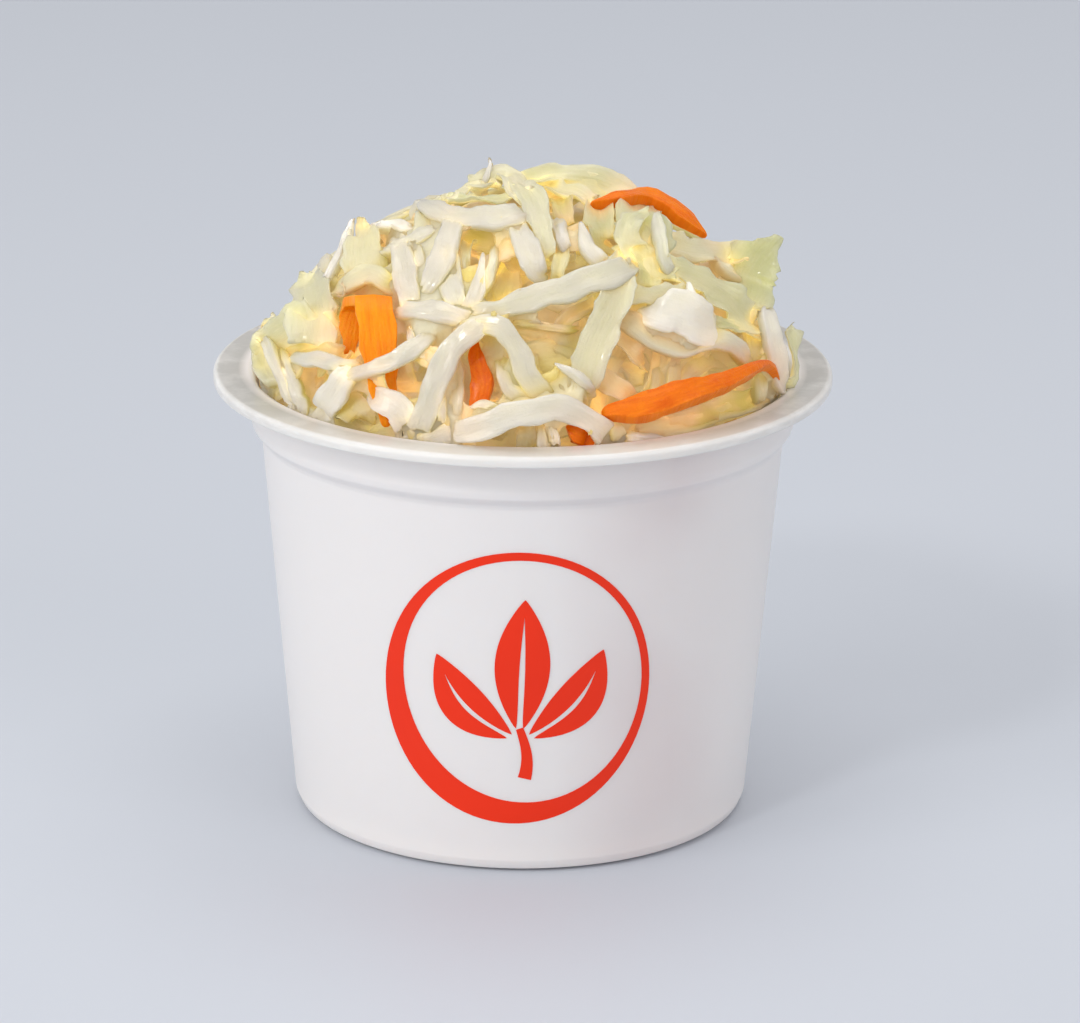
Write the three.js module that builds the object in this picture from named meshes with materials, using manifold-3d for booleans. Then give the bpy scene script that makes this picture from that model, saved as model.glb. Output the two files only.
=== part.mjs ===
// Coleslaw heaped in a thin-walled plastic portion cup, as a scene graph of closed solids.
// Millimetres, +Z up. The origin is the centre of the cup's foot, and the front faces -Y.
import * as THREE from "three";
import { mergeVertices } from "three/addons/utils/BufferGeometryUtils.js";
import Module from "manifold-3d";

const wasm = await Module();
wasm.setup();

// ---------------------------------------------------------------- driving dimensions, mm

const RIM_R = 37.5; // outside of the sealing flange, for a 75 mm lid
const CUP_H = 55; // top of the flange
const FLANGE_T = 0.9;
const FLANGE_LIP = 0.4; // how far the flange's outer edge is turned down
const WALL = 0.7;
const COLLAR_R = 33.1; // outside of the stacking collar under the flange
const COLLAR_H = 5.5;
const SHOULDER_R = 31.7; // outside of the wall where the shoulder runs out into it
const SHOULDER_H = 1.8;
const FOOT_R = 27.9; // outside of the wall just above the foot's corner
const FOOT_CORNER = 1.6;
const FOOT_RING = 1.6; // width of the ring that the cup stands on
const BASE_RISE = 1.3; // how far the base panel stands above the table
const CUP_SIDES = 48;

const GAP = 0.3; // clear space between neighbouring pieces

const MOUND_CENTRE = new THREE.Vector3(0.5, 0, 52);
const MOUND_R = 31; // the mound's half width, under the pieces that show
const MOUND_H = 23.5; // its height above its centre
const CORE_LUMP = 0.5; // how far the packed core swells and sinks about the mound's surface
const CORE_LEDGE = 1.6; // how far below the rim the packed salad meets the wall

const SIGHT_ANGLE = THREE.MathUtils.degToRad(18); // front pieces are placed as seen from here
const SIGHT_DISTANCE = 612;
const SIGHT_AIM = new THREE.Vector3(2.2, 0, 36.4);
const SKYLINE_EASE = 8; // pieces seen against the skyline stand this far before the middle

const RIB_T = 1.7; // a shred cut across a thick cabbage rib
const LEAF_T = 0.9; // a shred of leaf
const CARROT_T = 2.2;
const RIBBON_T = 1.3; // a carrot strip taken along the root
const IN_FRONT = -0.25; // spots that face the front more than this hold no fill
const WELL_BEHIND = 0.3; // spots that face the back more than this have the full arch
const SKYLINE_ARCH = 0.4; // share of the arch that shreds near the skyline have
const TUCK = -0.6; // lift of the ends of the fill's shreds, pushed into the heap
const BURIED_RUN = 1.6; // how far a shred of the front runs on beyond each end that shows
const BURIED_DEPTH = 3.5; // how far it sinks into the heap there

const FILL_SPOTS = 68; // places on the whole mound where a shred of the fill may lie

// ---------------------------------------------------------------- small helpers

// A repeatable draw between low and high.
function drawsFrom(seed) {
  let state = seed;
  return (low, high) => {
    state = (Math.imul(state, 1664525) + 1013904223) >>> 0;
    return low + ((high - low) * state) / 4294967296;
  };
}

// A closed geometry as a solid that can be joined and cut.
function toSolid(geometry) {
  const bare = geometry.clone();
  bare.deleteAttribute("normal");
  bare.deleteAttribute("uv");
  const merged = mergeVertices(bare, 1e-4);
  return new wasm.Manifold(
    new wasm.Mesh({
      numProp: 3,
      vertProperties: merged.attributes.position.array,
      triVerts: new Uint32Array(merged.index.array),
    }),
  );
}

// The largest closed body of a solid, without loose scraps and with its sealed hollows filled.
function toGeometry(solid) {
  const bodies = solid.decompose().sort((a, b) => b.volume() - a.volume());
  const mesh = bodies[0].getMesh();
  const geometry = new THREE.BufferGeometry();
  geometry.setAttribute("position", new THREE.BufferAttribute(mesh.vertProperties, mesh.numProp));
  geometry.setIndex(new THREE.BufferAttribute(mesh.triVerts, 1));
  geometry.computeVertexNormals();
  return geometry;
}

// A solid of revolution about Z. Its profile of [radius, height] points runs out along the
// bottom, up the outside and back over the top and the inside.
function turned(profile, sides) {
  const points = profile.map(([r, z]) => new THREE.Vector2(r, z));
  return new THREE.LatheGeometry(points, sides).rotateX(Math.PI / 2);
}

// ---------------------------------------------------------------- the cup

const FLANGE_UNDER = CUP_H - FLANGE_T;
const COLLAR_FOOT = FLANGE_UNDER - COLLAR_H;
const WALL_TOP = COLLAR_FOOT - SHOULDER_H;
const FLOOR_TOP = BASE_RISE + WALL;

function wallRadius(z) {
  return THREE.MathUtils.mapLinear(z, FOOT_CORNER, WALL_TOP, FOOT_R, SHOULDER_R);
}

// The wall's outside, from above the foot's corner up to the flange.
function wallOutside(bottom, top) {
  const step = COLLAR_R - SHOULDER_R;
  return [
    [wallRadius(bottom), bottom],
    [SHOULDER_R, WALL_TOP],
    [SHOULDER_R + 0.2 * step, WALL_TOP + 0.35 * SHOULDER_H],
    [SHOULDER_R + 0.8 * step, WALL_TOP + 0.85 * SHOULDER_H],
    [COLLAR_R - 0.05, COLLAR_FOOT + 0.6],
    [COLLAR_R, top],
  ];
}

// The same line moved towards the axis, running down.
function wallInside(bottom, top, inset) {
  return wallOutside(bottom, top)
    .map(([r, z]) => [r - inset, z])
    .reverse();
}

function cupGeometry() {
  const lipFoot = FLANGE_UNDER - FLANGE_LIP;
  const footIn = FOOT_R - FOOT_CORNER - FOOT_RING;
  return turned(
    [
      [0, BASE_RISE],
      [footIn - BASE_RISE, BASE_RISE],
      [footIn, 0],
      [FOOT_R - FOOT_CORNER, 0],
      [FOOT_R - 0.3 * FOOT_CORNER, 0.3 * FOOT_CORNER],
      ...wallOutside(FOOT_CORNER, FLANGE_UNDER),
      [RIM_R - 2 * FLANGE_LIP, FLANGE_UNDER],
      [RIM_R - 1.5 * FLANGE_LIP, lipFoot],
      [RIM_R, lipFoot],
      [RIM_R, CUP_H - FLANGE_LIP],
      [RIM_R - FLANGE_LIP, CUP_H],
      [COLLAR_R + 0.2, CUP_H],
      [COLLAR_R - 0.3, CUP_H - 0.2],
      ...wallInside(FLOOR_TOP + FOOT_CORNER, CUP_H - FLANGE_T, WALL),
      [wallRadius(FLOOR_TOP) - WALL - FOOT_CORNER, FLOOR_TOP],
      [0, FLOOR_TOP],
    ],
    CUP_SIDES,
  );
}

// What the cup and the gap round it take up, which no shred may enter.
function cupKeepOut() {
  const outer = RIM_R + 5;
  const profile = [
    [outer, BASE_RISE],
    [outer, CUP_H + GAP],
    [COLLAR_R + 0.1, CUP_H + GAP],
    [COLLAR_R - 0.5, CUP_H],
    ...wallInside(BASE_RISE, CUP_H - FLANGE_T, WALL + GAP),
  ];
  return toSolid(turned([...profile, profile[0]], CUP_SIDES));
}

// ---------------------------------------------------------------- the heap's core

// The packed salad that fills the cup, up to a ledge just below the rim.
function fillingGeometry() {
  const bottom = FLOOR_TOP + FOOT_CORNER;
  const ledge = CUP_H - CORE_LEDGE;
  return turned(
    [
      [0, FLOOR_TOP + GAP],
      [wallRadius(FLOOR_TOP) - WALL - FOOT_CORNER - GAP, FLOOR_TOP + GAP],
      ...wallOutside(bottom, ledge).map(([r, z]) => [r - WALL - 1.3 * GAP, z]),
      [0, ledge],
    ],
    CUP_SIDES,
  );
}

// The lumpy dome of packed salad above it.
function domeGeometry() {
  const geometry = new THREE.SphereGeometry(1, 26, 13).rotateX(Math.PI / 2);
  const at = geometry.attributes.position;
  const p = new THREE.Vector3();
  const size = new THREE.Vector3(MOUND_R, MOUND_R, MOUND_H);
  for (let i = 0; i < at.count; i++) {
    p.fromBufferAttribute(at, i).multiply(size);
    const lump = Math.sin(0.33 * p.x + 1.1) * Math.sin(0.41 * p.y + 0.3) * Math.sin(0.37 * p.z + 0.9);
    p.addScaledVector(p.clone().normalize(), CORE_LUMP * lump).add(MOUND_CENTRE);
    at.setXYZ(i, p.x, p.y, p.z);
  }
  return geometry;
}

// ---------------------------------------------------------------- places on the mound

const SIGHT = new THREE.Vector3(0, Math.cos(SIGHT_ANGLE), -Math.sin(SIGHT_ANGLE));
const SIGHT_UP = new THREE.Vector3(0, Math.sin(SIGHT_ANGLE), Math.cos(SIGHT_ANGLE));
const SIGHT_POINT = SIGHT_AIM.clone().addScaledVector(SIGHT, -SIGHT_DISTANCE);

// The mound's half axes with everything lifted off it.
function radiiAt(lift) {
  return new THREE.Vector3(MOUND_R, MOUND_R, MOUND_H).addScalar(lift);
}

function outwardAt(place, radii) {
  return place.clone().sub(MOUND_CENTRE).divide(radii).divide(radii).normalize();
}

// The place that shows at (across, up) from the rim's centre, lift above the mound. Where the
// line of sight passes the mound, the place stands SKYLINE_EASE before the mound's middle.
function onFront(across, up, lift) {
  const ray = new THREE.Vector3(across, 0, CUP_H).addScaledVector(SIGHT_UP, up).sub(SIGHT_POINT);
  ray.normalize();
  const radii = radiiAt(lift);
  const start = SIGHT_POINT.clone().sub(MOUND_CENTRE).divide(radii);
  const step = ray.clone().divide(radii);
  const a = step.dot(step);
  const b = start.dot(step);
  const halfChord = Math.sqrt(Math.max(0, b * b - a * (start.dot(start) - 1))) / a;
  const eased = halfChord + SKYLINE_EASE * Math.exp(-halfChord / SKYLINE_EASE);
  const place = SIGHT_POINT.clone().addScaledVector(ray, -b / a - eased);
  return { place, out: outwardAt(place, radii) };
}

// The place of the mound nearest a point, lift above it.
function onMound(point, lift) {
  const radii = radiiAt(lift);
  const place = point.clone().sub(MOUND_CENTRE).divide(radii).normalize().multiply(radii);
  place.add(MOUND_CENTRE);
  return { place, out: outwardAt(place, radii) };
}

// Inside the cup a centre line keeps clear of the wall.
function keptByCup(place, clear) {
  const rim = COLLAR_R - WALL - GAP - clear;
  const level = Math.hypot(place.x, place.y);
  if (place.z < CUP_H + clear && level > rim) {
    place.x *= rim / level;
    place.y *= rim / level;
  }
}

// ---------------------------------------------------------------- shreds

// The value at share s of evenly spaced values, eased from each to the next.
function eased(values, s) {
  const at = s * (values.length - 1);
  const k = Math.min(values.length - 2, Math.floor(at));
  return THREE.MathUtils.lerp(values[k], values[k + 1], THREE.MathUtils.smoothstep(at - k, 0, 1));
}

// A strip along a line of {place, out} stations: a long box bent along it, narrower at its ends.
// cup curls its long edges outwards, wave lifts them in turn and turn rolls it about its length.
function strip(stations, widths, thick, { folds = 1, cup = 0, wave = 0, turn = 0, ends = 0.5 } = {}) {
  const steps = stations.length - 1;
  const geometry = alikeFaces(new THREE.BoxGeometry(1, 1, 1, steps, folds, 1));
  const at = geometry.attributes.position;
  const along = new THREE.Vector3();
  const side = new THREE.Vector3();
  const face = new THREE.Vector3();
  for (let i = 0; i < at.count; i++) {
    const k = Math.round((at.getX(i) + 0.5) * steps);
    const q = at.getY(i);
    const h = at.getZ(i);
    const s = k / steps;
    along.copy(stations[Math.min(k + 1, steps)].place).sub(stations[Math.max(k - 1, 0)].place);
    along.normalize();
    side.crossVectors(stations[k].out, along).normalize();
    if (stations[k].side) side.copy(stations[k].side);
    side.applyAxisAngle(along, turn * (s - 0.5));
    face.crossVectors(along, side).normalize();
    const girth = ends + (1 - ends) * Math.min(1, 5 * Math.min(s, 1 - s));
    const width = girth * eased(widths, s);
    const curl = cup * width * (4 * q * q - 0.4) + wave * 2 * q * Math.sin(2.2 * k);
    const lift = h * thick * girth + curl;
    const p = stations[k].place.clone().addScaledVector(side, q * width).addScaledVector(face, lift);
    at.setXYZ(i, p.x, p.y, p.z);
  }
  return geometry;
}

// Splits a box's far face into the same triangles as its near face, so that a thin wavy sheet
// keeps its thickness.
function alikeFaces(box) {
  const { start, count } = box.groups[5];
  for (let i = start; i < start + count; i += 6) {
    const [a, b, c, d] = [0, 1, 4, 5].map((k) => box.index.getX(i + k));
    [a, b, c, a, c, d].forEach((vertex, k) => box.index.setX(i + k, vertex));
  }
  return box;
}

function stepsFor(length) {
  return THREE.MathUtils.clamp(Math.round(length / 3.6), 2, 6);
}

const FOLD_OVER = 4.2; // a wider shred is split along its middle, so that it can curl
const RIB = { thick: RIB_T, style: { ends: 0.6, cup: 0.06 } };
const LEAF = { thick: LEAF_T, style: { ends: 0.5, cup: 0.12, wave: 0.35 } };

// A line's places with one more beyond each end that isn't free, where it sinks into the heap.
function withBuriedEnds(through, free) {
  const line = through.map((spot) => new THREE.Vector3(...spot));
  const [first, second] = line;
  const [before, last] = line.slice(-2);
  if (free !== "start") line.unshift(buriedEnd(first, second));
  if (free !== "end") line.push(buriedEnd(last, before));
  return line;
}

function buriedEnd(tip, before) {
  const ahead = tip.clone().sub(before).setZ(0).setLength(BURIED_RUN);
  return tip.clone().add(ahead).setZ(tip.z - BURIED_DEPTH);
}

function smoothLine(places) {
  return new THREE.CatmullRomCurve3(places, false, "catmullrom", 0.5);
}

// The stations of one piece of the front, on a smooth line through its places, turned from lying
// flat (face 0) towards the front (face 1).
function frontStations(line, steps, widths, face) {
  return line.getSpacedPoints(steps).map((spot, k) => {
    const station = onFront(spot.x, spot.y, spot.z);
    station.out.multiplyScalar(1 - face).addScaledVector(SIGHT, -face).normalize();
    keptByCup(station.place, 0.4 * eased(widths, k / steps));
    return station;
  });
}

function rib(through, widths, { face = 0.4, free = "" } = {}) {
  return { kind: RIB, through, widths, face, free };
}

function leaf(through, widths, { face = 0.4, free = "" } = {}) {
  return { kind: LEAF, through, widths, face, free };
}

// The shreds that show from the front: places as [across, up, lift] from the rim's centre, then
// widths at even shares of the length.
const FRONT = {
  // over the rim
  front_arch: rib(
    [[-11.5, -8.9, 1], [-6, -7.9, 3], [-1, -6.2, 4], [3.5, -5.2, 3.6], [7.6, -6.3, 2.6], [11.2, -9.4, 0.8]],
    [2.6, 2.8, 3.1, 3.1, 2.8, 2],
  ),
  left_leg: rib(
    [[-13.2, -9.2, 1], [-11.9, -5.5, 1.8], [-10.2, -1.5, 3], [-8.2, 2.2, 4], [-5.4, 4.6, 4.4]],
    [2.9, 2.8, 2.7, 2.6],
  ),
  left_fall: rib(
    [[-6.2, 4.7, 4.2], [-2.8, 4.2, 3.8], [-0.6, 1.6, 2.8], [0.8, -1.6, 1.8], [3.2, -4.2, 0.8]],
    [2.2, 2.6, 2.8, 2.6, 1.7],
  ),
  lower_left: rib([[-17.2, -4.4, 2.4], [-14.9, -6, 1.8], [-14.2, -9.2, 0.8]], [1.4, 3.6, 3]),
  hook: rib(
    [[-6.3, -5.2, 1.8], [-4.8, -4.8, 2.2], [-2.8, -5.6, 2]],
    [0.8, 1.4, 1.2], { free: "start" },
  ),
  fan_left: rib([[-2.3, -0.7, 1], [-1.5, -2.8, 1], [0.6, -4.6, 0.8]], [1.2, 2.3, 1.6]),
  stub_left: leaf([[0.4, -7.4, 0.4], [0.4, -9.9, 0]], [2.3, 2.3]),
  stub_right: rib([[3.5, -7, 1.6], [4, -9.9, 1]], [1.2, 1.5]),
  low_right: rib([[11.4, -7.6, 1], [12.3, -9.7, 0.6]], [2, 2.3]),
  rim_strip: leaf(
    [[14.6, -7.7, 0.8], [19, -7.6, 0.6], [24, -6.4, 0.5], [30, -3.9, 0.4]],
    [1.8, 2.3, 1.9, 1.6],
  ),
  // the middle
  bent_rise: rib(
    [[-6.2, 6.3, 2], [-2, 7.1, 2.6], [3, 8.7, 3.4], [7.6, 10.1, 4], [11.8, 11.6, 4.5]],
    [1.5, 2.4, 3.1, 3.5, 3],
  ),
  bent_fall: leaf(
    [[11.6, 11.8, 4.5], [11, 8, 3.8], [9.2, 4, 2.8], [8, 0.4, 2], [7.4, -3.4, 1]],
    [3.2, 4, 4.6, 4, 2.4],
  ),
  bright_strip: rib(
    [[3.8, 0.3, 2.4], [5.6, -0.8, 2.4], [7.4, -2.3, 1.8]],
    [0.9, 1.3, 0.8], { free: "start" },
  ),
  inner_post: rib([[-9.2, 2.4, 0], [-8.5, -2.4, 0.4], [-8.6, -6.8, 0.5]], [2, 2.6, 2.4]),
  bridge: leaf([[8.6, 0.4, 0.2], [10, -1.6, 0.6], [12.4, -3.6, 0.2]], [2, 2.6, 1.6]),
  bridge_top: leaf([[10.6, 6, 0.4], [12.2, 3.6, 0.4], [13.8, 1.4, -0.2]], [2.4, 3.3, 2.8]),
  wave_right: rib(
    [[12.4, 5.8, 0.8], [15.4, 3.5, 1.2], [18.6, 2.4, 1.6], [22, 3.2, 2], [25, 2.9, 1.6], [27, 0.8, 0.6]],
    [2, 2.8, 2.8, 2.7, 2.4, 1.5],
  ),
  chunk: rib([[16.2, 7.4, 3], [19.4, 6.5, 3.6], [22.5, 5.4, 3]], [1.6, 4, 1.8], { face: 0.7 }),
  // the right shoulder
  right_post: rib(
    [[28.9, 9.2, 1.4], [29.6, 6, 2], [30.5, 2, 2], [31.2, -1.6, 1]],
    [1.8, 2.7, 2.9, 1.9], { free: "start" },
  ),
  rim_right: leaf([[32.6, 3.6, 0.2], [33, 0, 0.2], [32, -3.6, 0]], [1.3, 1.9, 1.6]),
  green_leaf: leaf(
    [[27.2, 7.4, 0.6], [27.8, 10.4, 1], [28.8, 13.2, 1.4], [30.9, 15.9, 1.8]],
    [3.6, 6.6, 5.6, 1.2], { face: 0.9, free: "end" },
  ),
  crumple: leaf([[15, 18.8, 3.6], [12.9, 17.6, 3.8], [13, 14.4, 3]], [2.4, 3.6, 3], { free: "start" }),
  crumple_edge: rib(
    [[15.9, 18.6, 4], [16.2, 15.4, 3.6], [17.4, 11.8, 3]],
    [1.8, 1.6, 2], { free: "start" },
  ),
  drape: leaf(
    [[16.8, 12, 2.8], [20.6, 10.7, 2.8], [24.2, 8.6, 2.2], [27, 6.2, 1.4]],
    [2.8, 3.8, 4.6, 2.8],
  ),
  shoulder_right: leaf(
    [[16.6, 15.8, 1.2], [19.4, 14.5, 1.4], [22.6, 13.8, 1], [26.2, 13.8, 0.4]],
    [2.4, 3.7, 3.6, 1.6],
  ),
  under_arch: leaf([[9, 18.8, 0], [9.5, 15.4, 0.2]], [3.2, 3.2]),
  // the top
  ridge: leaf(
    [[0.6, 22.7, 0.4], [5, 23.3, 0.6], [9, 23, 0.6], [12.8, 21.4, 0.2]],
    [1.4, 2.4, 2.6, 1], { face: 0.7 },
  ),
  ridge_front: leaf([[3.4, 21.6, 0.6], [6.2, 20.8, 0.6], [8.6, 19.2, 0.2]], [2.6, 3, 1.4]),
  tip_fold: leaf(
    [[-5.6, 22, 0.8], [-3.4, 22.9, 1.2], [-1.2, 22.4, 2], [0.6, 20.4, 3]],
    [1.2, 2.8, 3.4, 2.8], { face: 0.7 },
  ),
  tip_fall: leaf(
    [[-0.4, 21.8, 2.8], [1.2, 19.4, 3.2], [2.3, 16, 3], [2.9, 13.4, 2.2]],
    [2.6, 3, 2.7, 1.3],
  ),
  tip_spike: rib(
    [[-4.3, 25.1, 1.2], [-4.2, 24, 1.4], [-4.6, 22.4, 1]],
    [0.5, 0.8, 1.3], { face: 0.7, free: "start" },
  ),
  top_leaf: leaf([[-8.2, 20, 0.8], [-5, 20.4, 1.4], [-0.8, 20.8, 1.8]], [1.2, 1.8, 1.8]),
  top_band: rib(
    [[-11.5, 19.1, 1.5], [-8, 17.9, 2.6], [-4, 17.7, 3.2], [-0.4, 18.1, 3]],
    [1.6, 3, 3.2, 2.6],
  ),
  centre_rib: rib([[-0.9, 16.9, 2.4], [0.1, 14.4, 2.6], [1.5, 11.4, 2]], [2, 3, 1.8]),
  notch_rib: rib([[4.1, 16.5, 1.6], [5, 14.2, 1.6]], [1.6, 1.9]),
  upright: rib([[6.8, 17.4, 3], [7.6, 15, 3], [9.3, 12.4, 2.6]], [1.5, 2.3, 2.4], { free: "start" }),
  // the left shoulder
  upper_left: leaf([[-11.2, 18.6, 1], [-12, 16, 0.8], [-12.6, 13.4, 0.8]], [2.2, 3.2, 2.8]),
  pale_post: rib([[-9, 16.6, 2.5], [-9.5, 13.4, 2.2], [-11.4, 9.2, 1.5]], [2.7, 3, 1.2]),
  left_post: rib([[-15, 14, 1.5], [-14.4, 10.8, 1.8], [-13.6, 7.2, 1.5]], [2, 3, 2.5]),
  loop_top: rib([[-16, 13.9, 1.2], [-14, 14.7, 1.6], [-11.2, 16, 1.4]], [1.3, 2.1, 2.2]),
  vee_left: rib([[-9, 12.8, 1.4], [-8.9, 9.8, 1.6], [-8, 6.8, 1.8]], [1.8, 2.8, 2.2]),
  vee_right: rib(
    [[-4.9, 13.5, 1.6], [-5.3, 10.4, 1.9], [-6.6, 6.8, 2]],
    [0.7, 1.9, 2], { free: "start" },
  ),
  saddle: rib([[-14.2, 6.4, 1.8], [-10.6, 6.6, 2.4], [-7, 5.8, 2.6]], [2, 2.4, 2]),
  wedge: leaf(
    [[-19.7, 17.8, 1], [-19.4, 14.5, 1.2], [-19.4, 9, 0.8]],
    [2.4, 5.2, 6.6], { face: 0.9, free: "start" },
  ),
  shoulder_left: leaf([[-30.8, 3.2, 0.5], [-27, 4.4, 0.7], [-22.8, 5, 0.2]], [2, 3.2, 3]),
  corner_leaf: leaf([[-26.4, 9.6, 1], [-25.5, 6, 1.4], [-25, 2.4, 1]], [3, 4.8, 4.4], { face: 0.6 }),
  low_leaf: leaf(
    [[-30.6, 4.4, 0.8], [-31.6, 1, 1], [-30.4, -2.8, 0.8]],
    [1.8, 2.8, 2.2], { face: 0.8 },
  ),
  thin_left: rib(
    [[-31, 3, 1.4], [-30.1, 0, 1.7], [-28.8, -3, 1.4], [-27.9, -5.4, 0.8]],
    [1.1, 1.5, 1.6, 1.4],
  ),
  angle_top: rib([[-27, 0.4, 1.2], [-24, 0.2, 1.8], [-20.4, -0.9, 2.2]], [1.2, 2, 2.2]),
  angle_low: rib([[-21, -0.9, 2.6], [-22.5, -3, 2.2], [-24.7, -6.6, 1]], [2.2, 3.5, 2]),
  strand: rib(
    [[-20.8, -1.5, 2.4], [-17, -0.3, 4], [-14.4, 1.2, 4.2], [-12, 2.9, 2.8]],
    [1.7, 1.8, 2.2, 1.8],
  ),
};

function frontShred({ kind, through, widths, face, free }) {
  const line = smoothLine(withBuriedEnds(through, free));
  const stations = frontStations(line, stepsFor(0.8 * line.getLength()), widths, face);
  const folds = Math.max(...widths) > FOLD_OVER ? 2 : 1;
  return strip(stations, widths, kind.thick, { ...kind.style, folds });
}

// The spot of the mound at an angle round it (0 at the front, towards +X) and a share of its height.
function spotAt(round, share) {
  const level = Math.sqrt(1 - share * share);
  const way = new THREE.Vector3(Math.sin(round) * level, -Math.cos(round) * level, share);
  return way.multiply(radiiAt(0)).add(MOUND_CENTRE);
}

// The stations of a piece that lies over a spot of the mound: its heading turns from level
// (0) to upright (a quarter turn), its ends are at lift and its middle arch above them.
function moundStations(spot, { heading, length, bow, lift, arch, wide }) {
  const { out } = onMound(spot, 0);
  const level = new THREE.Vector3(0, 0, 1).cross(out).normalize();
  const ahead = level.applyAxisAngle(out, heading);
  const aside = ahead.clone().cross(out);
  const steps = stepsFor(length);
  const stations = [];
  for (let k = 0; k <= steps; k++) {
    const s = k / steps;
    const hump = 4 * s * (1 - s);
    const point = spot.clone().addScaledVector(ahead, (s - 0.5) * length);
    point.addScaledVector(aside, bow * hump);
    const station = onMound(point, lift + arch * hump);
    station.place.z = Math.max(station.place.z, CUP_H - CORE_LEDGE);
    keptByCup(station.place, 0.4 * wide);
    stations.push(station);
  }
  return stations;
}

// The shreds that the front doesn't show: spots spread evenly over the mound in a spiral, each
// with a shred of its own length, heading and bend.
function fillShreds() {
  const draw = drawsFrom(41);
  const golden = Math.PI * (3 - Math.sqrt(5));
  const shreds = [];
  for (let n = 0; n < FILL_SPOTS; n++) {
    const spot = spotAt(n * golden, THREE.MathUtils.mapLinear(n + 0.5, 0, FILL_SPOTS, 0.1, 0.99));
    const kind = draw(0, 1) < 0.55 ? RIB : LEAF;
    const wide = kind === RIB ? draw(1.7, 2.9) : draw(2.6, 4.4);
    const turn = draw(-0.9, 0.9);
    const away = onMound(spot, 0).out.dot(SIGHT);
    const lie = {
      heading: draw(0, Math.PI),
      length: draw(9, 22),
      bow: draw(-2.5, 2.5),
      lift: TUCK,
      arch: draw(1.2, 3) * (away > WELL_BEHIND ? 1 : SKYLINE_ARCH),
      wide,
    };
    if (away < IN_FRONT) continue;
    shreds.push(strip(moundStations(spot, lie), [wide, wide], kind.thick, { ...kind.style, turn }));
  }
  return shreds;
}

// ---------------------------------------------------------------- carrot

// A straight-cut carrot strip that follows a smooth line through places of the front. Its tilt
// rolls it about its length, so that its upper side shows.
function frontCarrot({ through, widths, face = 0.3, tilt = 0 }, spare = 0) {
  const line = smoothLine(through.map((spot) => new THREE.Vector3(...spot)));
  const stations = frontStations(line, stepsFor(1.1 * line.getLength()), widths, face);
  const last = stations.length - 1;
  stations.forEach((station, k) => {
    const ahead = stations[Math.min(k + 1, last)].place.clone().sub(stations[Math.max(k - 1, 0)].place);
    station.out.applyAxisAngle(ahead.normalize(), -tilt);
  });
  return carrotStrip(stations, widths, CARROT_T, 0.7, spare);
}

// A strip at its own size, or with spare all round it.
function carrotStrip(stations, widths, thick, ends, spare) {
  lengthen(stations, spare);
  const wider = widths.map((w) => w + 2 * spare);
  return strip(stations, wider, thick + 2 * spare, { ends });
}

// Moves a line's two ends outwards.
function lengthen(stations, spare) {
  const last = stations.length - 1;
  for (const [end, next] of [[0, 1], [last, last - 1]]) {
    const away = stations[end].place.clone().sub(stations[next].place).normalize();
    stations[end].place.addScaledVector(away, spare);
  }
}

// A broad carrot ribbon bent over at its top: one leg down the front, one back into the heap.
const RIBBON = { foot: [-16.5, -7.6, 0.6], crown: [-18.1, 7.6, 3], tuck: [-21.2, 0.4, -1.6] };
const RIBBON_WIDTHS = [1.6, 3.6, 4.4, 4.4, 4.4, 3.6, 1.6];

function ribbonStrip(spare = 0) {
  const { foot, crown, tuck } = RIBBON;
  const stations = [];
  const legSteps = 4;
  for (let k = 0; k <= legSteps; k++) {
    const s = k / legSteps;
    stations.push(onFront(...crown.map((c, i) => THREE.MathUtils.lerp(foot[i], c, s))));
  }
  for (let k = 1; k <= legSteps; k++) {
    const s = k / legSteps;
    const drop = s * s;
    stations.push(
      onFront(
        THREE.MathUtils.lerp(crown[0], tuck[0], Math.sqrt(s)),
        THREE.MathUtils.lerp(crown[1], tuck[1], drop) + 0.5 * Math.sin(Math.PI * s),
        THREE.MathUtils.lerp(crown[2], tuck[2], Math.sqrt(s)),
      ),
    );
  }
  const side = new THREE.Vector3(-1, 0, 0);
  for (const station of stations) station.side = side;
  return carrotStrip(stations, RIBBON_WIDTHS, RIBBON_T, 0.9, spare);
}

const FRONT_CARROTS = {
  carrot_long: {
    through: [
      [9.6, -5.9, 1.6],
      [14.4, -5, 2.4],
      [20, -3.2, 2.8],
      [26, -1.2, 2.6],
      [29.4, 0.2, 2.2],
      [31, -1.6, 1.4],
    ],
    widths: [2, 3, 3.1, 2.3, 1.3, 1],
    tilt: 0.45,
  },
  carrot_arch: {
    through: [[8, 19.4, 0.6], [11.6, 20.3, 1.8], [15.2, 20.5, 2], [18.4, 18.8, 1.8], [22.1, 15.8, 0.6]],
    widths: [0.7, 1.6, 2.1, 2.7, 0.7],
    face: 0.6,
    tilt: 0.45,
  },
  carrot_sliver: {
    through: [[-5.7, 3.1, 0.6], [-5.7, 0.8, 0.5], [-5.1, -2, 0.4], [-5.4, -4.6, 0.4], [-5.8, -6.9, 0.4]],
    widths: [0.9, 1.8, 2.6, 2.2, 1.6],
  },
  carrot_low: { through: [[5.3, -7.3, 0.8], [7.2, -8.5, 0.8], [9.8, -9.5, 0.4]], widths: [1.3, 2.3, 1.2] },
};

// Strips of the sides and the back, at an angle round the mound and a share of its height.
const BACK_CARROTS = {
  carrot_right: { round: 2.3, share: 0.3, heading: 0.5, length: 15, bow: 1.5, wide: 3 },
  carrot_back: { round: 3, share: 0.55, heading: -0.6, length: 15, bow: -2, wide: 2.6 },
  carrot_behind: { round: 3.4, share: 0.22, heading: 1.1, length: 12, bow: 1, wide: 3.4 },
  carrot_left: { round: 4, share: 0.3, heading: 0.2, length: 11, bow: -1, wide: 2.2 },
};

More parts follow.
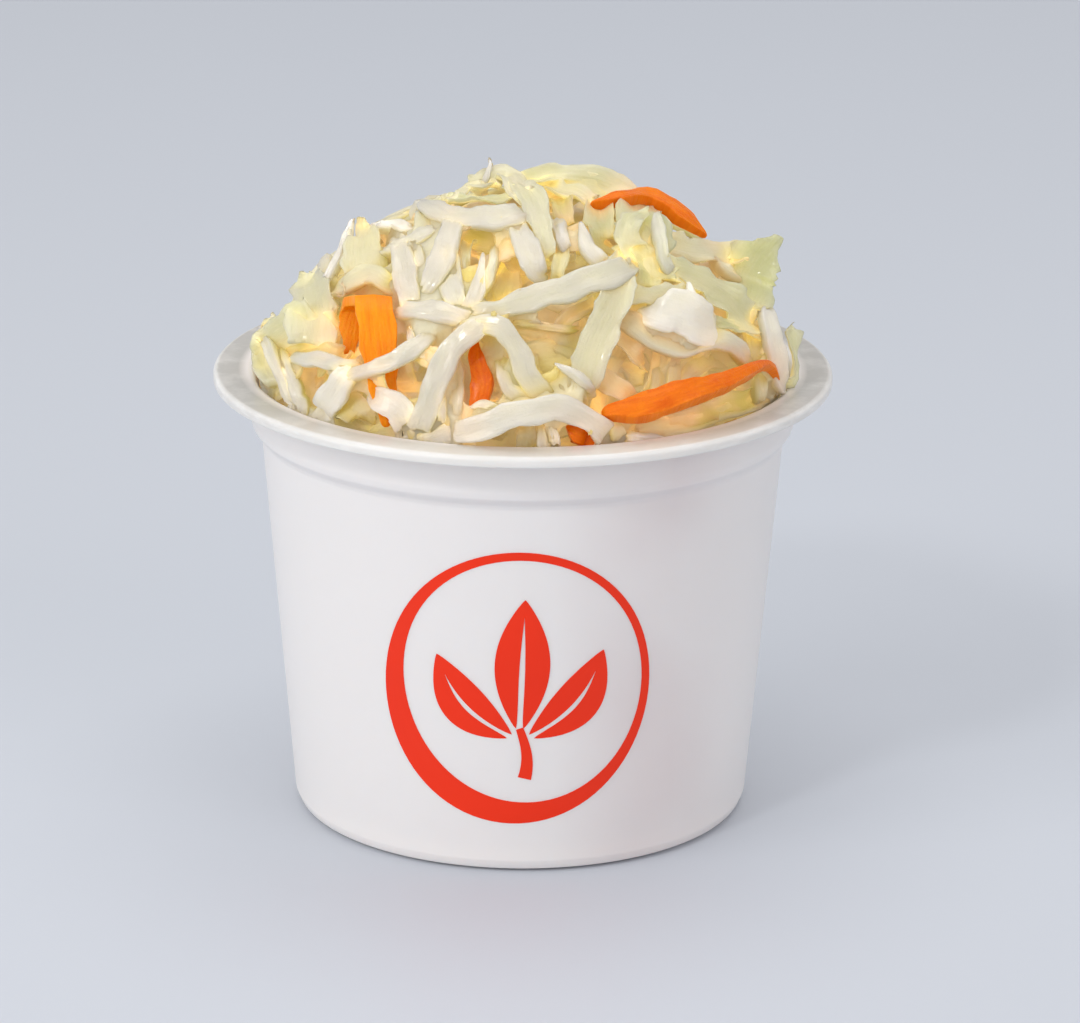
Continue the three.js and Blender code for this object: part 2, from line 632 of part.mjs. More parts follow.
function backCarrot({ round, share, wide, ...lie }, spare = 0) {
  const stations = moundStations(spotAt(round, share), { ...lie, lift: 0.2, arch: 1.4, wide });
  return carrotStrip(stations, [wide, wide], CARROT_T, 0.7, spare);
}

// ---------------------------------------------------------------- the whole

function finish(colour, roughness) {
  return new THREE.MeshStandardMaterial({ color: colour, roughness, metalness: 0 });
}

function piece(name, geometry, material) {
  const mesh = new THREE.Mesh(geometry, material);
  mesh.name = name;
  return mesh;
}

const cupPlastic = finish("#f1f0ee", 0.35);
const cabbage = finish("#efe6cb", 0.4);
const carrot = finish("#f07c1c", 0.35);

// Each carrot strip can be made at its own size, or with spare round it to cut its bed.
const carrotStrips = { carrot_ribbon: ribbonStrip };
for (const [name, shape] of Object.entries(FRONT_CARROTS)) {
  carrotStrips[name] = (spare) => frontCarrot(shape, spare);
}
for (const [name, shape] of Object.entries(BACK_CARROTS)) {
  carrotStrips[name] = (spare) => backCarrot(shape, spare);
}

let heap = toSolid(domeGeometry());
const shreds = [...Object.values(FRONT).map(frontShred), ...fillShreds()];
for (const shred of shreds) heap = heap.add(toSolid(shred));
heap = heap.subtract(cupKeepOut()).add(toSolid(fillingGeometry()));
for (const shape of Object.values(carrotStrips)) heap = heap.subtract(toSolid(shape(GAP)));

const group = new THREE.Group();
group.add(piece("cup", cupGeometry(), cupPlastic));
group.add(piece("coleslaw", toGeometry(heap), cabbage));
for (const [name, shape] of Object.entries(carrotStrips)) group.add(piece(name, shape(), carrot));

export default group;
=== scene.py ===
# %% [markdown]
# # Coleslaw heaped in a plastic cup
#
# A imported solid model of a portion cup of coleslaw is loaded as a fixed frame, and every piece of
# it gets its real surface: thin plastic that glows a little, and some hundreds of moist shreds of
# cabbage and carrot, each a small solid of its own. Lengths are written in millimetres, and a
# piece is scaled to metres when it is finished.

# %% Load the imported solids
import bisect
import math
import bmesh
import bpy
import numpy as np
from mathutils import Matrix, Vector, kdtree, noise
from mathutils.bvhtree import BVHTree


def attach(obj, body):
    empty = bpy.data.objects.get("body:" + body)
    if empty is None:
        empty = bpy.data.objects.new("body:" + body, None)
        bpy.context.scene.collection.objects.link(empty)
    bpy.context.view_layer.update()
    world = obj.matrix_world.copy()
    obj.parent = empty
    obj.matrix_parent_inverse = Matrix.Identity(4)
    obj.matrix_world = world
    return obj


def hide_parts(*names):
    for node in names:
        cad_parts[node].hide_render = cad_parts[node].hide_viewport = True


MM = 0.001
NOISE_SEED = 5
noise.seed_set(NOISE_SEED)  # vector noise starts from the clock otherwise, and no two runs match
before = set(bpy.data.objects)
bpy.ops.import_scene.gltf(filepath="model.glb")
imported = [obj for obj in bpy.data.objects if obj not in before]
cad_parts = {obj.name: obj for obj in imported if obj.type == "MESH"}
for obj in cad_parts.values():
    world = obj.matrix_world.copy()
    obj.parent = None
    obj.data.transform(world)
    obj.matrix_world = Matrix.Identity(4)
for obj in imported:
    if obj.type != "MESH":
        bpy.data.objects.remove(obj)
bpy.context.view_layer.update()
print("solids:", ", ".join(sorted(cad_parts)))

# %% [markdown]
# ## The camera
#
# A cup on a table is seen from a little above, 18 degrees here, with a long lens from about 60 cm
# away, so that the rim shows as a narrow oval. The line of sight is kept as three vectors,
# because the shreds of the front are placed along it later on.

# %% The camera
SIGHT_ANGLE = math.radians(18)
SIGHT_DISTANCE = 612
SIGHT_AIM = Vector((2.2, 0, 36.4))
SIGHT_ROLL = math.radians(0.47)
LENS_SHARE = 4.63  # focal length as a share of the sensor's width
SENSOR = 36

SIGHT = Vector((0, math.cos(SIGHT_ANGLE), -math.sin(SIGHT_ANGLE)))
SIGHT_UP = Vector((0, math.sin(SIGHT_ANGLE), math.cos(SIGHT_ANGLE)))
SIGHT_POINT = SIGHT_AIM - SIGHT * SIGHT_DISTANCE


def put_in_scene(name, data):
    made = bpy.data.objects.new(name, data)
    bpy.context.scene.collection.objects.link(made)
    return made


lens = bpy.data.cameras.new("camera")
lens.sensor_width = SENSOR
lens.lens = LENS_SHARE * SENSOR
lens.clip_start = 0.01
lens.clip_end = 10
camera = put_in_scene("camera", lens)
camera.rotation_mode = "QUATERNION"
upright = SIGHT.to_track_quat("-Z", "Y")
camera.rotation_quaternion = upright @ Matrix.Rotation(SIGHT_ROLL, 3, "Z").to_quaternion()
camera.location = SIGHT_POINT * MM
bpy.context.scene.camera = camera
print("camera at", [round(c, 3) for c in camera.location])

# %% [markdown]
# ## Shader maths
#
# A material is a small graph of nodes. Two classes keep it readable: `Finish` makes a material
# and its nodes, and `Wire` wraps a socket, so that `1 - mask * 0.5` adds the Math nodes itself.

# %% A socket that takes + - *
class Wire:
    def __init__(self, finish, socket):
        self.finish = finish
        self.socket = socket

    def maths(self, operation, *values):
        made = self.finish.node("Math", {"operation": operation}, dict(enumerate(values)))
        return Wire(self.finish, made.outputs[0])

    def __add__(self, other):
        return self.maths("ADD", self, other)

    def __radd__(self, other):
        return self.maths("ADD", other, self)

    def __sub__(self, other):
        return self.maths("SUBTRACT", self, other)

    def __rsub__(self, other):
        return self.maths("SUBTRACT", other, self)

    def __mul__(self, other):
        return self.maths("MULTIPLY", self, other)

    def __rmul__(self, other):
        return self.maths("MULTIPLY", other, self)

    def between(self, low, high):
        """0 where the value is low, 1 where it is high, and evenly in between."""
        sockets = {"Value": self, "From Min": low, "From Max": high}
        return Wire(self.finish, self.finish.node("MapRange", {"clamp": True}, sockets).outputs[0])

    def root(self):
        return self.maths("POWER", self, 0.5)


# %% A material and its nodes
class Finish:
    def __init__(self, name, **constants):
        self.material = bpy.data.materials.new(name)
        self.material.use_nodes = True
        self.tree = self.material.node_tree
        self.shader = self.tree.nodes["Principled BSDF"]
        for socket, value in constants.items():
            self.shader.inputs[socket.replace("_", " ")].default_value = value

    def node(self, kind, settings=None, sockets=None):
        made = self.tree.nodes.new("ShaderNode" + kind)
        for key, value in (settings or {}).items():
            setattr(made, key, value)
        for key, value in (sockets or {}).items():
            self.plug(made.inputs[key], value)
        return made

    def plug(self, socket, value):
        if isinstance(value, Wire):
            self.tree.links.new(value.socket, socket)
        else:
            socket.default_value = value

    def drive(self, **sockets):
        """Links what changes over the surface to the shader."""
        for key, value in sockets.items():
            self.plug(self.shader.inputs[key.replace("_", " ")], value)

    def attribute(self, name, output="Vector"):
        found = self.node("Attribute", {"attribute_name": name})
        return Wire(self, found.outputs[output])

    def place(self):
        return Wire(self, self.node("TexCoord").outputs["Object"])

    def parts(self, vector):
        split = self.node("SeparateXYZ", None, {0: vector})
        return [Wire(self, split.outputs[axis]) for axis in range(3)]

    def stretched(self, vector, scale):
        made = self.node("VectorMath", {"operation": "MULTIPLY"}, {0: vector, 1: scale})
        return Wire(self, made.outputs[0])

    def noise(self, vector, scale, detail=2.0, roughness=0.5):
        sockets = {"Vector": vector, "Scale": scale, "Detail": detail, "Roughness": roughness}
        return Wire(self, self.node("TexNoise", None, sockets).outputs[0])

    def mix(self, share, one, other):
        sockets = {0: share, 6: one, 7: other}
        settings = {"data_type": "RGBA", "clamp_factor": True}
        return Wire(self, self.node("Mix", settings, sockets).outputs[2])

    def bump(self, height, distance, strength=1.0):
        sockets = {"Height": height, "Distance": distance, "Strength": strength}
        self.drive(Normal=Wire(self, self.node("Bump", None, sockets).outputs[0]))


def tint(red, green, blue):
    """A colour picked on screen, from 0 to 255, as the linear values that a shader takes."""
    parts = [c / 255 for c in (red, green, blue)]
    linear = [c / 12.92 if c < 0.04045 else ((c + 0.055) / 1.055) ** 2.4 for c in parts]
    return (*linear, 1)


# %% [markdown]
# ## Finished pieces
#
# Every piece is a bmesh, a mesh that is edited by operators. When it is done its normals are
# made to point outwards, it is scaled to metres, and it rides on the model's one body.

# %% From a bmesh to a piece
def as_mesh(name, shape):
    mesh = bpy.data.meshes.new(name)
    shape.to_mesh(mesh)
    shape.free()
    return mesh


def add_shape(whole, part):
    """Adds one bmesh to another, by way of a mesh."""
    mesh = as_mesh("part", part)
    whole.from_mesh(mesh)
    bpy.data.meshes.remove(mesh)


def finish_piece(name, shape, finish, stands_for=(), sharp=None):
    bmesh.ops.scale(shape, vec=(MM, MM, MM), verts=shape.verts)
    mesh = as_mesh(name, shape)
    mesh.shade_smooth()
    if sharp:
        mesh.set_sharp_from_angle(angle=math.radians(sharp))
    mesh.materials.append(finish.material)
    made = put_in_scene(name, mesh)
    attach(made, "root")
    if stands_for:
        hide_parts(*stands_for)
    triangles = sum(len(face.vertices) - 2 for face in mesh.polygons)
    print(f"{name}: {triangles} triangles")


DRAW_FACTOR = 1664525
DRAW_SHIFT = 1013904223
DRAW_RANGE = 2**32


def draws_from(seed):
    """A repeatable draw between low and high, by a linear congruence."""
    state = seed

    def draw(low, high):
        nonlocal state
        state = (state * DRAW_FACTOR + DRAW_SHIFT) % DRAW_RANGE
        return low + (high - low) * state / DRAW_RANGE

    return draw


# %% [markdown]
# ## The cup
#
# A portion cup is drawn from one thin sheet of white polypropylene over a mould. So it is one
# shell of even thickness: a foot ring, a wall that opens upwards, a soft shoulder, a straight
# stacking collar and a flat flange that a lid is sealed or snapped to. A profile spun about the
# axis gives all that. The profile is drawn with corners, and a bevel then rounds each of them.

# %% The cup's profile
RIM_R = 37.5
CUP_H = 55
FLANGE_T = 0.9
FLANGE_LIP = 0.4
WALL = 0.7
COLLAR_R = 33.1
COLLAR_H = 5.5
SHOULDER_R = 31.7
SHOULDER_H = 1.8
FOOT_R = 27.9
FOOT_CORNER = 1.6
FOOT_RING = 1.6
BASE_RISE = 1.3
GAP = 0.3

FLANGE_UNDER = CUP_H - FLANGE_T
COLLAR_FOOT = FLANGE_UNDER - COLLAR_H
WALL_TOP = COLLAR_FOOT - SHOULDER_H
FLOOR_TOP = BASE_RISE + WALL
CUP_STEPS = 192
CUP_ROUNDING = 0.16
CREASE = 50  # degrees from which an edge shows sharp


def wall_radius(z):
    share = (z - FOOT_CORNER) / (WALL_TOP - FOOT_CORNER)
    return FOOT_R + (SHOULDER_R - FOOT_R) * share


def wall_outside(bottom, top, inset=0.0):
    """The wall's outside from above the foot's corner up to the flange, moved in by inset."""
    step = COLLAR_R - SHOULDER_R
    line = [(wall_radius(bottom), bottom), (SHOULDER_R, WALL_TOP)]
    line.append((SHOULDER_R + 0.2 * step, WALL_TOP + 0.35 * SHOULDER_H))
    line.append((SHOULDER_R + 0.8 * step, WALL_TOP + 0.85 * SHOULDER_H))
    line.append((COLLAR_R - 0.05, COLLAR_FOOT + 0.6))
    line.append((COLLAR_R, top))
    return [(r - inset, z) for r, z in line]


def cup_profile():
    lip_foot = FLANGE_UNDER - FLANGE_LIP
    foot_in = FOOT_R - FOOT_CORNER - FOOT_RING
    return [
        (0, BASE_RISE),
        (foot_in - BASE_RISE, BASE_RISE),
        (foot_in, 0),
        (FOOT_R - FOOT_CORNER, 0),
        (FOOT_R - 0.3 * FOOT_CORNER, 0.3 * FOOT_CORNER),
        *wall_outside(FOOT_CORNER, FLANGE_UNDER),
        (RIM_R - 2 * FLANGE_LIP, FLANGE_UNDER),
        (RIM_R - 1.5 * FLANGE_LIP, lip_foot),
        (RIM_R, lip_foot),
        (RIM_R, CUP_H - FLANGE_LIP),
        (RIM_R - FLANGE_LIP, CUP_H),
        (COLLAR_R + 0.2, CUP_H),
        (COLLAR_R - 0.3, CUP_H - 0.2),
        *wall_outside(FLOOR_TOP + FOOT_CORNER, CUP_H - FLANGE_T, WALL)[::-1],
        (wall_radius(FLOOR_TOP) - WALL - FOOT_CORNER, FLOOR_TOP),
        (0, FLOOR_TOP),
    ]


# %% Spin it
def spun(profile, steps):
    """A closed solid of revolution about Z, from a profile of (radius, height) points."""
    shape = bmesh.new()
    points = [shape.verts.new((r, 0, z)) for r, z in profile]
    edges = [shape.edges.new(pair) for pair in zip(points, points[1:])]
    bmesh.ops.spin(
        shape, geom=points + edges, cent=(0, 0, 0), axis=(0, 0, 1),
        angle=math.tau, steps=steps, use_merge=True, use_duplicate=False,
    )
    bmesh.ops.remove_doubles(shape, verts=shape.verts, dist=1e-4)
    bmesh.ops.recalc_face_normals(shape, faces=shape.faces)
    return shape


def round_corners(shape, least, offset, segments):
    """Bevels the rings that bend by more than least degrees."""
    rings = [edge for edge in shape.edges if edge.calc_face_angle(0) > math.radians(least)]
    bmesh.ops.bevel(
        shape, geom=rings, offset=offset, offset_type="OFFSET", segments=segments,
        profile=0.5, affect="EDGES", material=-1, clamp_overlap=True,
    )


# %% The cup's plastic
CUP_WHITE = tint(248, 241, 237)
FLANGE_GREY = tint(186, 184, 179)
# the flange at the front, painted lighter: painted light
FLANGE_LIT_FRONT = tint(222, 217, 209)
FLANGE_EDGE = tint(236, 234, 230)
# painted shade with a painted pink reflection of the print, right of the print on the front
CUP_PAINTED_SHADE = tint(230, 213, 211)


def cup_finish():
    look = Finish(
        "cup_plastic", Coat_Weight=0.15, Coat_Roughness=0.25, IOR=1.49,
        Subsurface_Weight=0.35, Subsurface_Scale=0.002, Subsurface_Radius=(1.0, 0.85, 0.75),
    )
    place = look.place()
    across, deep, height = look.parts(place)
    radius = (across * across + deep * deep).root()
    flange = radius.between((COLLAR_R + 0.1) * MM, (COLLAR_R + 1.4) * MM)
    flange_edge = radius.between((RIM_R - 0.7) * MM, (RIM_R - 0.2) * MM)
    # Painted shade: a patchy band on the front, right of the print's middle, is painted darker and
    # pinker, for the wall's shade and a pink reflection of the print.
    painted_shade_mottle = 0.4 + look.noise(place, 45, 1.5).between(0.4, 0.7)
    side = across.between(0.004, 0.014) * (1 - across.between(0.018, 0.028))
    side = side * (1 - deep.between(-0.02, 0.0))
    colour = look.mix(painted_shade_mottle * side * 0.5, CUP_WHITE, CUP_PAINTED_SHADE)
    # Painted light: the flange is painted lighter at the front and greyer further back.
    flange_colour = look.mix(deep.between(-0.034, -0.02), FLANGE_LIT_FRONT, FLANGE_GREY)
    scuffs = look.noise(look.stretched(place, (1, 1, 6)), 230, 4.0, 0.65).between(0.46, 0.72)
    flange_colour = look.mix(scuffs * 0.4 + flange_edge * 0.7, flange_colour, FLANGE_EDGE)
    look.drive(Base_Color=look.mix(flange, colour, flange_colour))
    grain = look.noise(place, 900, 3.0)
    waves = look.noise(look.stretched(place, (1, 1, 0.35)), 60, 1.0)
    look.drive(Roughness=0.3 + grain * 0.12)
    look.bump(waves * 8 + grain, 0.00001)
    return look


cup = spun(cup_profile(), CUP_STEPS)
round_corners(cup, least=12, offset=CUP_ROUNDING, segments=3)
finish_piece("cup_shell", cup, cup_finish(), ["cup"], sharp=CREASE)

# %% [markdown]
# ## The print
#
# The wall carries one emblem in red-orange ink: a plain ring with a sprig of three leaves. Ink is
# a film a few hundredths of a millimetre thick, so each stroke is a thin strip that is bent round
# the cone of the wall. That keeps its edges crisp from any distance.

# %% Strokes of ink
INK_T = 0.05
INK_BITE = 0.02  # how far the strokes reach into the wall
EMBLEM_FOOT = 24.5  # height of the emblem's middle above the table
INK_STEPS = 96
LEAF_STEPS = 40
STEM_STEPS = 24
RING_ACROSS = 15.5
RING_UP = 16.5
RING_THIN = 1.0
RING_SWELL = 2.4
RING_HEAVY = 0.64  # the share of the way round at which the ring is heaviest
STEM_TOP = -5.5
STEM_RUN = 6.5
SPRIG = [  # each leaf's foot and tip, its bow and its width
    ((0, -5.5), (0.6, 11), 0, 7),
    ((-1.2, -6.5), (-10, 3.5), 1.6, 6),
    ((1.4, -6.5), (10, 4.2), -1.6, 6),
]


def on_wall(across, up, lift):
    """A place on the cup's wall, across round it from the front and up from the emblem's middle."""
    z = EMBLEM_FOOT + up
    radius = wall_radius(z) + lift
    angle = across / wall_radius(z)
    return Vector((radius * math.sin(angle), -radius * math.cos(angle), z))


def add_stroke(ink, line, width, steps=INK_STEPS):
    """A stroke along line(s) that is width(s) wide, for s from 0 to 1."""
    stroke = bmesh.new()
    bmesh.ops.create_grid(stroke, x_segments=steps, y_segments=2, size=0.5)
    for vertex in stroke.verts:
        s = vertex.co.x + 0.5
        here = Vector(line(s))
        ahead = (Vector(line(s + 0.001)) - Vector(line(s - 0.001))).normalized()
        place = here + Vector((-ahead.y, ahead.x)) * vertex.co.y * width(s)
        vertex.co = on_wall(place.x, place.y, INK_T)
    bmesh.ops.remove_doubles(stroke, verts=stroke.verts, dist=0.01)
    bmesh.ops.recalc_face_normals(stroke, faces=stroke.faces)
    for face in stroke.faces:
        if face.normal.y > 0:
            face.normal_flip()
    bmesh.ops.solidify(stroke, geom=stroke.faces, thickness=INK_T + INK_BITE)
    add_shape(ink, stroke)


def swelling(s):
    """0 at both ends of a leaf and 1 in its middle."""
    return math.sin(math.pi * max(0.0, min(1.0, s)))


def add_leaf(ink, foot, tip, bow, wide):
    """A leaf as two bowed halves with a bare rib between them."""
    foot = Vector(foot)
    tip = Vector(tip)
    way = tip - foot
    aside = Vector((-way.y, way.x)).normalized()
    for hand in (-1, 1):
        half = 0.25 * wide * hand

        def line(s):
            rib = foot + way * s + aside * bow * swelling(s)
            return rib + aside * half * (0.9 * swelling(s) + 0.25 * (1 - s))

        add_stroke(ink, line, lambda s: 0.42 * wide * swelling(s) ** 0.8, LEAF_STEPS)


def emblem():
    ink = bmesh.new()

    def ring(s):
        angle = math.tau * s
        return RING_ACROSS * math.cos(angle), RING_UP * math.sin(angle)

    def ring_width(s):
        return RING_THIN + RING_SWELL * (0.5 + 0.5 * math.cos(math.tau * (s - RING_HEAVY))) ** 2.5

    def stem(s):
        return 0.9 * math.sin(2.4 * s), STEM_TOP - STEM_RUN * s

    add_stroke(ink, ring, ring_width)
    for leaf_shape in SPRIG:
        add_leaf(ink, *leaf_shape)
    add_stroke(ink, stem, lambda s: 0.9 + 0.7 * s, STEM_STEPS)
    return ink


def ink_finish():
    look = Finish("red_ink", Coat_Weight=0.1, Coat_Roughness=0.2, IOR=1.5, Specular_IOR_Level=0.25)
    place = look.place()
    cloud = look.noise(place, 70, 2.0).between(0.3, 0.7)
    look.drive(Base_Color=look.mix(cloud * 0.5, tint(246, 50, 6), tint(234, 42, 6)))
    look.drive(Roughness=0.36 + look.noise(place, 700, 2.0) * 0.12)
    return look


finish_piece("emblem_ink", emblem(), ink_finish(), sharp=CREASE)

# %% [markdown]
# ## Where the shreds lie
#
# The salad is heaped to a mound, half an ellipsoid over the rim. Every shred follows a line of
# stations on it, each a place and the direction out of the heap. Pieces of the front are placed
# by where they show: a line of sight meets the mound there. Those of the sides and the back are
# placed on a spiral of spots with drawn headings and lengths.

# %% Places on the mound
MOUND_CENTRE = Vector((0.5, 0, 52))
MOUND_R = 31
MOUND_H = 23.5
CORE_LEDGE = 1.6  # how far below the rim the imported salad's edge lies
SKYLINE_EASE = 8  # within this reach of the skyline, a line of sight meets the mound early
BURIED_RUN = 1.6
BURIED_DEPTH = 3.5
FROM_WALL = 0.4  # the share of its width that a shred's line keeps from the cup's wall
WAVE_RUN = 3.6
FINE = 100  # steps by which a line's length is measured


def radii_at(lift):
    return Vector((MOUND_R + lift, MOUND_R + lift, MOUND_H + lift))


def over(vector, radii):
    return Vector([v / r for v, r in zip(vector, radii)])


def times(vector, radii):
    return Vector([v * r for v, r in zip(vector, radii)])


def outward_at(place, radii):
    return over(over(place - MOUND_CENTRE, radii), radii).normalized()


def on_front(across, up, lift):
    """The place that shows at (across, up) from the rim's centre, lift above the mound."""
    ray = (Vector((across, 0, CUP_H)) + SIGHT_UP * up - SIGHT_POINT).normalized()
    radii = radii_at(lift)
    start = over(SIGHT_POINT - MOUND_CENTRE, radii)
    step = over(ray, radii)
    a = step.dot(step)
    b = start.dot(step)
    half_chord = math.sqrt(max(0, b * b - a * (start.dot(start) - 1))) / a
    half_chord += SKYLINE_EASE * math.exp(-half_chord / SKYLINE_EASE)
    place = SIGHT_POINT + ray * (-b / a - half_chord)
    return place, outward_at(place, radii)


def on_mound(point, lift):
    """The place of the mound nearest a point, lift above it."""
    radii = radii_at(lift)
    place = times(over(point - MOUND_CENTRE, radii).normalized(), radii) + MOUND_CENTRE
    return place, outward_at(place, radii)


def kept_by_cup(place, clear):
    """Inside the cup a centre line keeps clear of the wall."""
    rim = COLLAR_R - WALL - GAP - clear
    level = math.hypot(place.x, place.y)
    if place.z < CUP_H + clear and level > rim:
        place.x *= rim / level
        place.y *= rim / level


def wave_steps(length):
    """How often a leaf's wave turns over its length, as in the solid model."""
    return min(6, max(2, round(length / WAVE_RUN)))


def run_of(places):
    return sum((Vector(b) - Vector(a)).length for a, b in zip(places, places[1:]))


def heading_at(places, k):
    """The direction of a line at its place number k."""
    return (places[min(k + 1, len(places) - 1)] - places[max(k - 1, 0)]).normalized()


# %% Lines of stations
def mixed(low, high, share):
    return low + (high - low) * share


def eased(values, s):
    """The value at share s of evenly spaced values, eased from each to the next."""
    at = s * (len(values) - 1)
    k = min(len(values) - 2, int(at))
    share = at - k
    return mixed(values[k], values[k + 1], share * share * (3 - 2 * share))


def smooth_through(points, s):
    """The place at share s of a smooth line through the points."""
    last = len(points) - 1
    at = min(last - 1e-6, max(0.0, s * last))
    k = int(at)
    t = at - k
    near = [Vector(points[min(last, max(0, k + step))]) for step in (-1, 0, 1, 2)]
    if k == 0:
        near[0] = near[1] * 2 - near[2]
    if k == last - 1:
        near[3] = near[2] * 2 - near[1]
    a, b, c, d = near
    curve = (2 * a - 5 * b + 4 * c - d) * t**2
    return 0.5 * (2 * b + (c - a) * t + curve + (3 * b - a - 3 * c + d) * t**3)


def even_places(points, shares):
    """Places at shares of the smooth line's length."""
    fine = [smooth_through(points, k / FINE) for k in range(FINE + 1)]
    run = [0.0]
    for a, b in zip(fine, fine[1:]):
        run.append(run[-1] + (b - a).length)
    found = []
    for s in shares:
        k = min(FINE - 1, bisect.bisect_right(run, s * run[-1]) - 1)
        found.append(fine[k].lerp(fine[k + 1], (s * run[-1] - run[k]) / (run[k + 1] - run[k])))
    return found


def with_buried_ends(through, free):
    """Adds a place beyond each end that isn't free, from where the line sinks into the heap."""
    longer = [Vector(spot) for spot in through]
    for end, beyond, before in (("start", longer[0], longer[1]), ("end", longer[-1], longer[-2])):
        if end in free:
            continue
        ahead = beyond - before
        ahead.z = 0
        spot = beyond + ahead.normalized() * BURIED_RUN
        spot.z = beyond.z - BURIED_DEPTH
        longer.insert(0 if end == "start" else len(longer), spot)
    return longer


def front_line(through, widths, rings, face):
    """A smooth line through places of the front that turns its face to the eye by a share."""
    stations = []
    for s, spot in zip(spread(rings), even_places(through, spread(rings))):
        place, out = on_front(*spot)
        kept_by_cup(place, FROM_WALL * eased(widths, s))
        stations.append((place, (out * (1 - face) - SIGHT * face).normalized()))
    return stations, wave_steps(run_of(through))


def spread(rings):
    """Shares of a length, from 0 to 1, that lie close together near both ends."""
    return [0.5 - 0.5 * math.cos(math.pi * k / rings) for k in range(rings + 1)]


def spot_at(round_angle, share):
    """The spot of the mound at an angle round it, 0 at the front, and a share of its height."""
    level = math.sqrt(1 - share * share)
    way = Vector((math.sin(round_angle) * level, -math.cos(round_angle) * level, share))
    return times(way, radii_at(0)) + MOUND_CENTRE


def mound_line(spot, rings, heading, length, bow, lift, arch, wide):
    """A line over a spot of the mound: heading 0 is level, and a quarter turn is upright."""
    out = on_mound(spot, 0)[1]
    level = Vector((0, 0, 1)).cross(out).normalized()
    ahead = Matrix.Rotation(heading, 3, out) @ level
    aside = ahead.cross(out)
    stations = []
    for s in spread(rings):
        hump = 4 * s * (1 - s)
        point = spot + ahead * (s - 0.5) * length + aside * bow * hump
        place, station_out = on_mound(point, lift + arch * hump)
        place.z = max(place.z, CUP_H - CORE_LEDGE)
        kept_by_cup(place, FROM_WALL * wide)
        stations.append((place, station_out))
    return stations, wave_steps(length)


# %% [markdown]
# ## One shred
#
# A shred is a bar with a rounded section, closed at both ends. One template bar is cut into rings
# that lie close together near its ends, and a copy of it is bent along each line of stations:
# the rings take their places, the width tapers and wavers, thin leaves get a ruffle. Each point
# also keeps notes for the finish: `way`, how far along and across the shred it lies, `tone`, how
# green it is, how soaked and how enclosed it lies, which is painted as yellow shade, and how near
# to carrot, `edge`, how near to an edge, and `shade`, how little open air it has before it, which
# is painted as a faint glow.
#
# A kind of shred is a few numbers: how thick it is, how wide its ends stay, how far its edges bend
# up (`cup`) and wave, how it sways from its line, how ragged its edges are and at what rate, how
# they ruffle, how uneven its thickness is, how aslant its ends are cut, and how grooved it is.

# %% A bar to bend
def bar_template(sides, rings, squareness):
    """A bar along Z, cut into rings. A squareness of 1 makes its section round, 0 square."""
    bar = bmesh.new()
    bmesh.ops.create_cone(bar, cap_ends=True, segments=sides, radius1=0.5, radius2=0.5, depth=1)
    lengthwise = [edge for edge in bar.edges if abs(edge.verts[0].co.z - edge.verts[1].co.z) > 0.5]
    bmesh.ops.subdivide_edges(bar, edges=lengthwise, cuts=rings - 1, use_grid_fill=True)
    bmesh.ops.recalc_face_normals(bar, faces=bar.faces)
    across, through = squareness
    for vertex in bar.verts:
        x, y = 2 * vertex.co.x, 2 * vertex.co.y
        vertex.co.x = 0.5 * math.copysign(abs(x) ** across, x)
        vertex.co.y = 0.5 * math.copysign(abs(y) ** through, y)
    return as_mesh("bar", bar), rings


NOTES = {"way": "float_vector", "tone": "float_vector", "edge": "float", "shade": "float"}


def add_notes(shape):
    """Makes room for the notes on every point of a shape."""
    for name, kind in NOTES.items():
        getattr(shape.verts.layers, kind).new(name)
    return shape


def note(shape, name):
    return getattr(shape.verts.layers, NOTES[name])[name]


def new_heap():
    return add_notes(bmesh.new())


# %% Bend it along its line
SEED_SPREAD = 2654435761  # large and odd, so that neighbours draw nothing alike
SEED_STEPS = (17.3, 5.1, 9.7)  # takes every shred to another part of the noise
SLANT_RUN = 3.5  # an end is cut aslant over this length
EDGE_RUN = 1.5
CARROT_REACH = 5  # how far a carrot colours what lies near it


def ring_frames(stations, thick, look, seed, shift, turn, side_way):
    """For each ring of a strip its share of the length, middle, side, face and girth."""
    own = draws_from(seed * SEED_SPREAD % DRAW_RANGE)
    slants = [own(-1, 1) * look["slant"] for end in range(2)]
    end_girths = [look["ends"] + own(-0.3, 0.3) for end in range(2)]
    places = [place for place, out in stations]
    length = run_of(places)
    frames = []
    for k, s in enumerate(spread(len(stations) - 1)):
        place, out = stations[k]
        along = heading_at(places, k)
        side = side_way or out.cross(along).normalized()
        side = Matrix.Rotation(turn * (s - 0.5), 3, along) @ side
        face = along.cross(side).normalized()
        small_sway = noise.noise_vector(place * 0.55 + shift)
        sway = noise.noise_vector(place * 0.16 + shift) + 0.3 * small_sway
        sway *= look["sway"] * math.sin(math.pi * s)
        from_end = min(s, 1 - s) * length
        rounding = math.sqrt(1 - (1 - min(1.0, 2 * from_end / thick + 0.06)) ** 2)
        ends = end_girths[s > 0.5]
        girth = (ends + (1 - ends) * min(1.0, 5 * min(s, 1 - s))) * rounding
        slant = slants[s > 0.5] * max(0.0, 1 - from_end / SLANT_RUN) * along
        frames.append((s, place + sway, side + slant, face, girth))
    return frames, length


